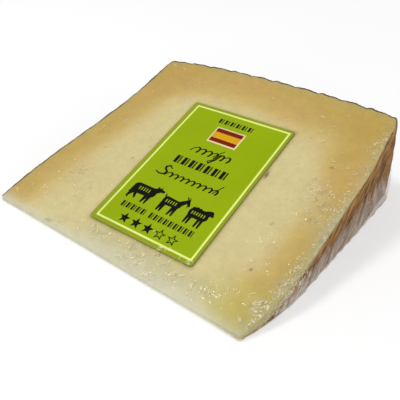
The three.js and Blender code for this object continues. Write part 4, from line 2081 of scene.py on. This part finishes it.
@dataclass(frozen=True)
class Studio:
    """Camera, floor and lights."""

    eye: tuple[float, float, float] = (0.10282, -0.12990, 0.11082)
    azimuth: float = 38.518
    elevation: float = 34.269
    roll: float = 0.073
    lens: float = 47.545
    sensor: float = 36.0
    clip: tuple[float, float] = (0.005, 20.0)
    floor_reach: float = 4.0
    floor_gap: float = 0.00005
    sky: float = 0.45
    sky_seen: float = 1.0
    lamps: tuple[Lamp, ...] = (
        Lamp("key", -55.0, 58.0, 1.8, 0.42, 20.5),
        Lamp("top", 150.0, 76.0, 1.8, 0.2, 42.0),
        Lamp("front", 25.0, 30.0, 2.0, 1.6, 0.86),
        Lamp("right", 80.0, 25.0, 2.0, 1.6, 0.75),
    )

    def build(self) -> None:
        """Makes the whole set."""
        self.camera()
        self.floor()
        self.world()
        for lamp in self.lamps:
            lamp.build()
        view = bpy.context.scene.view_settings
        view.view_transform = "Standard"
        view.look = "None"

    def camera(self) -> None:
        """Places the camera that the photo was taken with."""
        data = bpy.data.cameras.new("camera")
        data.lens = self.lens
        data.sensor_width = self.sensor
        data.clip_start, data.clip_end = self.clip
        camera = bpy.data.objects.new("camera", data)
        back = direction(self.azimuth, self.elevation)
        camera.location = self.eye
        camera.rotation_mode = "QUATERNION"
        turn = Matrix.Rotation(math.radians(self.roll), 4, "Z").to_quaternion()
        camera.rotation_quaternion = (-back).to_track_quat("-Z", "Y") @ turn
        bpy.context.scene.collection.objects.link(camera)
        bpy.context.scene.camera = camera

    def floor(self) -> None:
        """Makes the plain pale floor."""
        mesh = bpy.data.meshes.new("floor")
        r = self.floor_reach
        mesh.from_pydata([(-r, -r, 0), (r, -r, 0), (r, r, 0), (-r, r, 0)], [], [(0, 1, 2, 3)])
        mesh.materials.append(FloorFinish("floor").material())
        floor = bpy.data.objects.new("floor", mesh)
        floor.location.z = -self.floor_gap
        bpy.context.scene.collection.objects.link(floor)

    def world(self) -> None:
        """Lights the set all round; what the camera sees past the floor is white."""
        world = bpy.data.worlds.new("studio")
        bpy.context.scene.world = world
        world.use_nodes = True
        world.node_tree.nodes.clear()
        board = Board(world.node_tree)
        path = board.node("ShaderNodeLightPath")
        strength = board.span(path.outputs["Is Camera Ray"], 0, 1, self.sky, self.sky_seen)
        sky = board.node("ShaderNodeBackground", Color=(1.0, 1.0, 1.0), Strength=strength)
        output = board.node("ShaderNodeOutputWorld")
        board.feed(output.inputs["Surface"], sky.outputs[0])


@dataclass(frozen=True)
class FloorFinish(Finish):
    """White light table, which glows a little itself, so that the shadow stays faint."""

    board_white: float = 0.62
    glow: float = 0.36

    def shader(self, board: Board) -> bpy.types.NodeSocket:
        """Builds the floor's nodes."""
        tone = board.span(board.noise(board.place((1, 1, 1)), 6, 2.0), 0.3, 0.7, self.board_white, self.board_white + 0.01)
        colour = board.node("ShaderNodeCombineColor", Red=tone, Green=tone, Blue=tone).outputs[0]
        matt = board.node("ShaderNodeBsdfDiffuse", Color=colour).outputs[0]
        light = board.node("ShaderNodeEmission", Color=(1.0, 1.0, 1.0), Strength=self.glow).outputs[0]
        made = board.node("ShaderNodeAddShader")
        board.feed(made.inputs[0], matt)
        board.feed(made.inputs[1], light)
        return made.outputs[0]


def main() -> None:
    """Builds the set and every piece of the wedge in order."""
    logging.basicConfig(level=logging.INFO, format="%(name)s: %(message)s")
    Studio().build()
    form = WedgeForm()
    label_form = LabelForm(form)
    Cheese(form, label_form).build()
    Rind(form).build()
    gathers = Gathers(form)
    Film(form, gathers, CRINKLED).build()
    Creases(form, gathers, CRINKLED, label_form).build()
    Label(label_form).build()


if __name__ == "__main__":
    main()
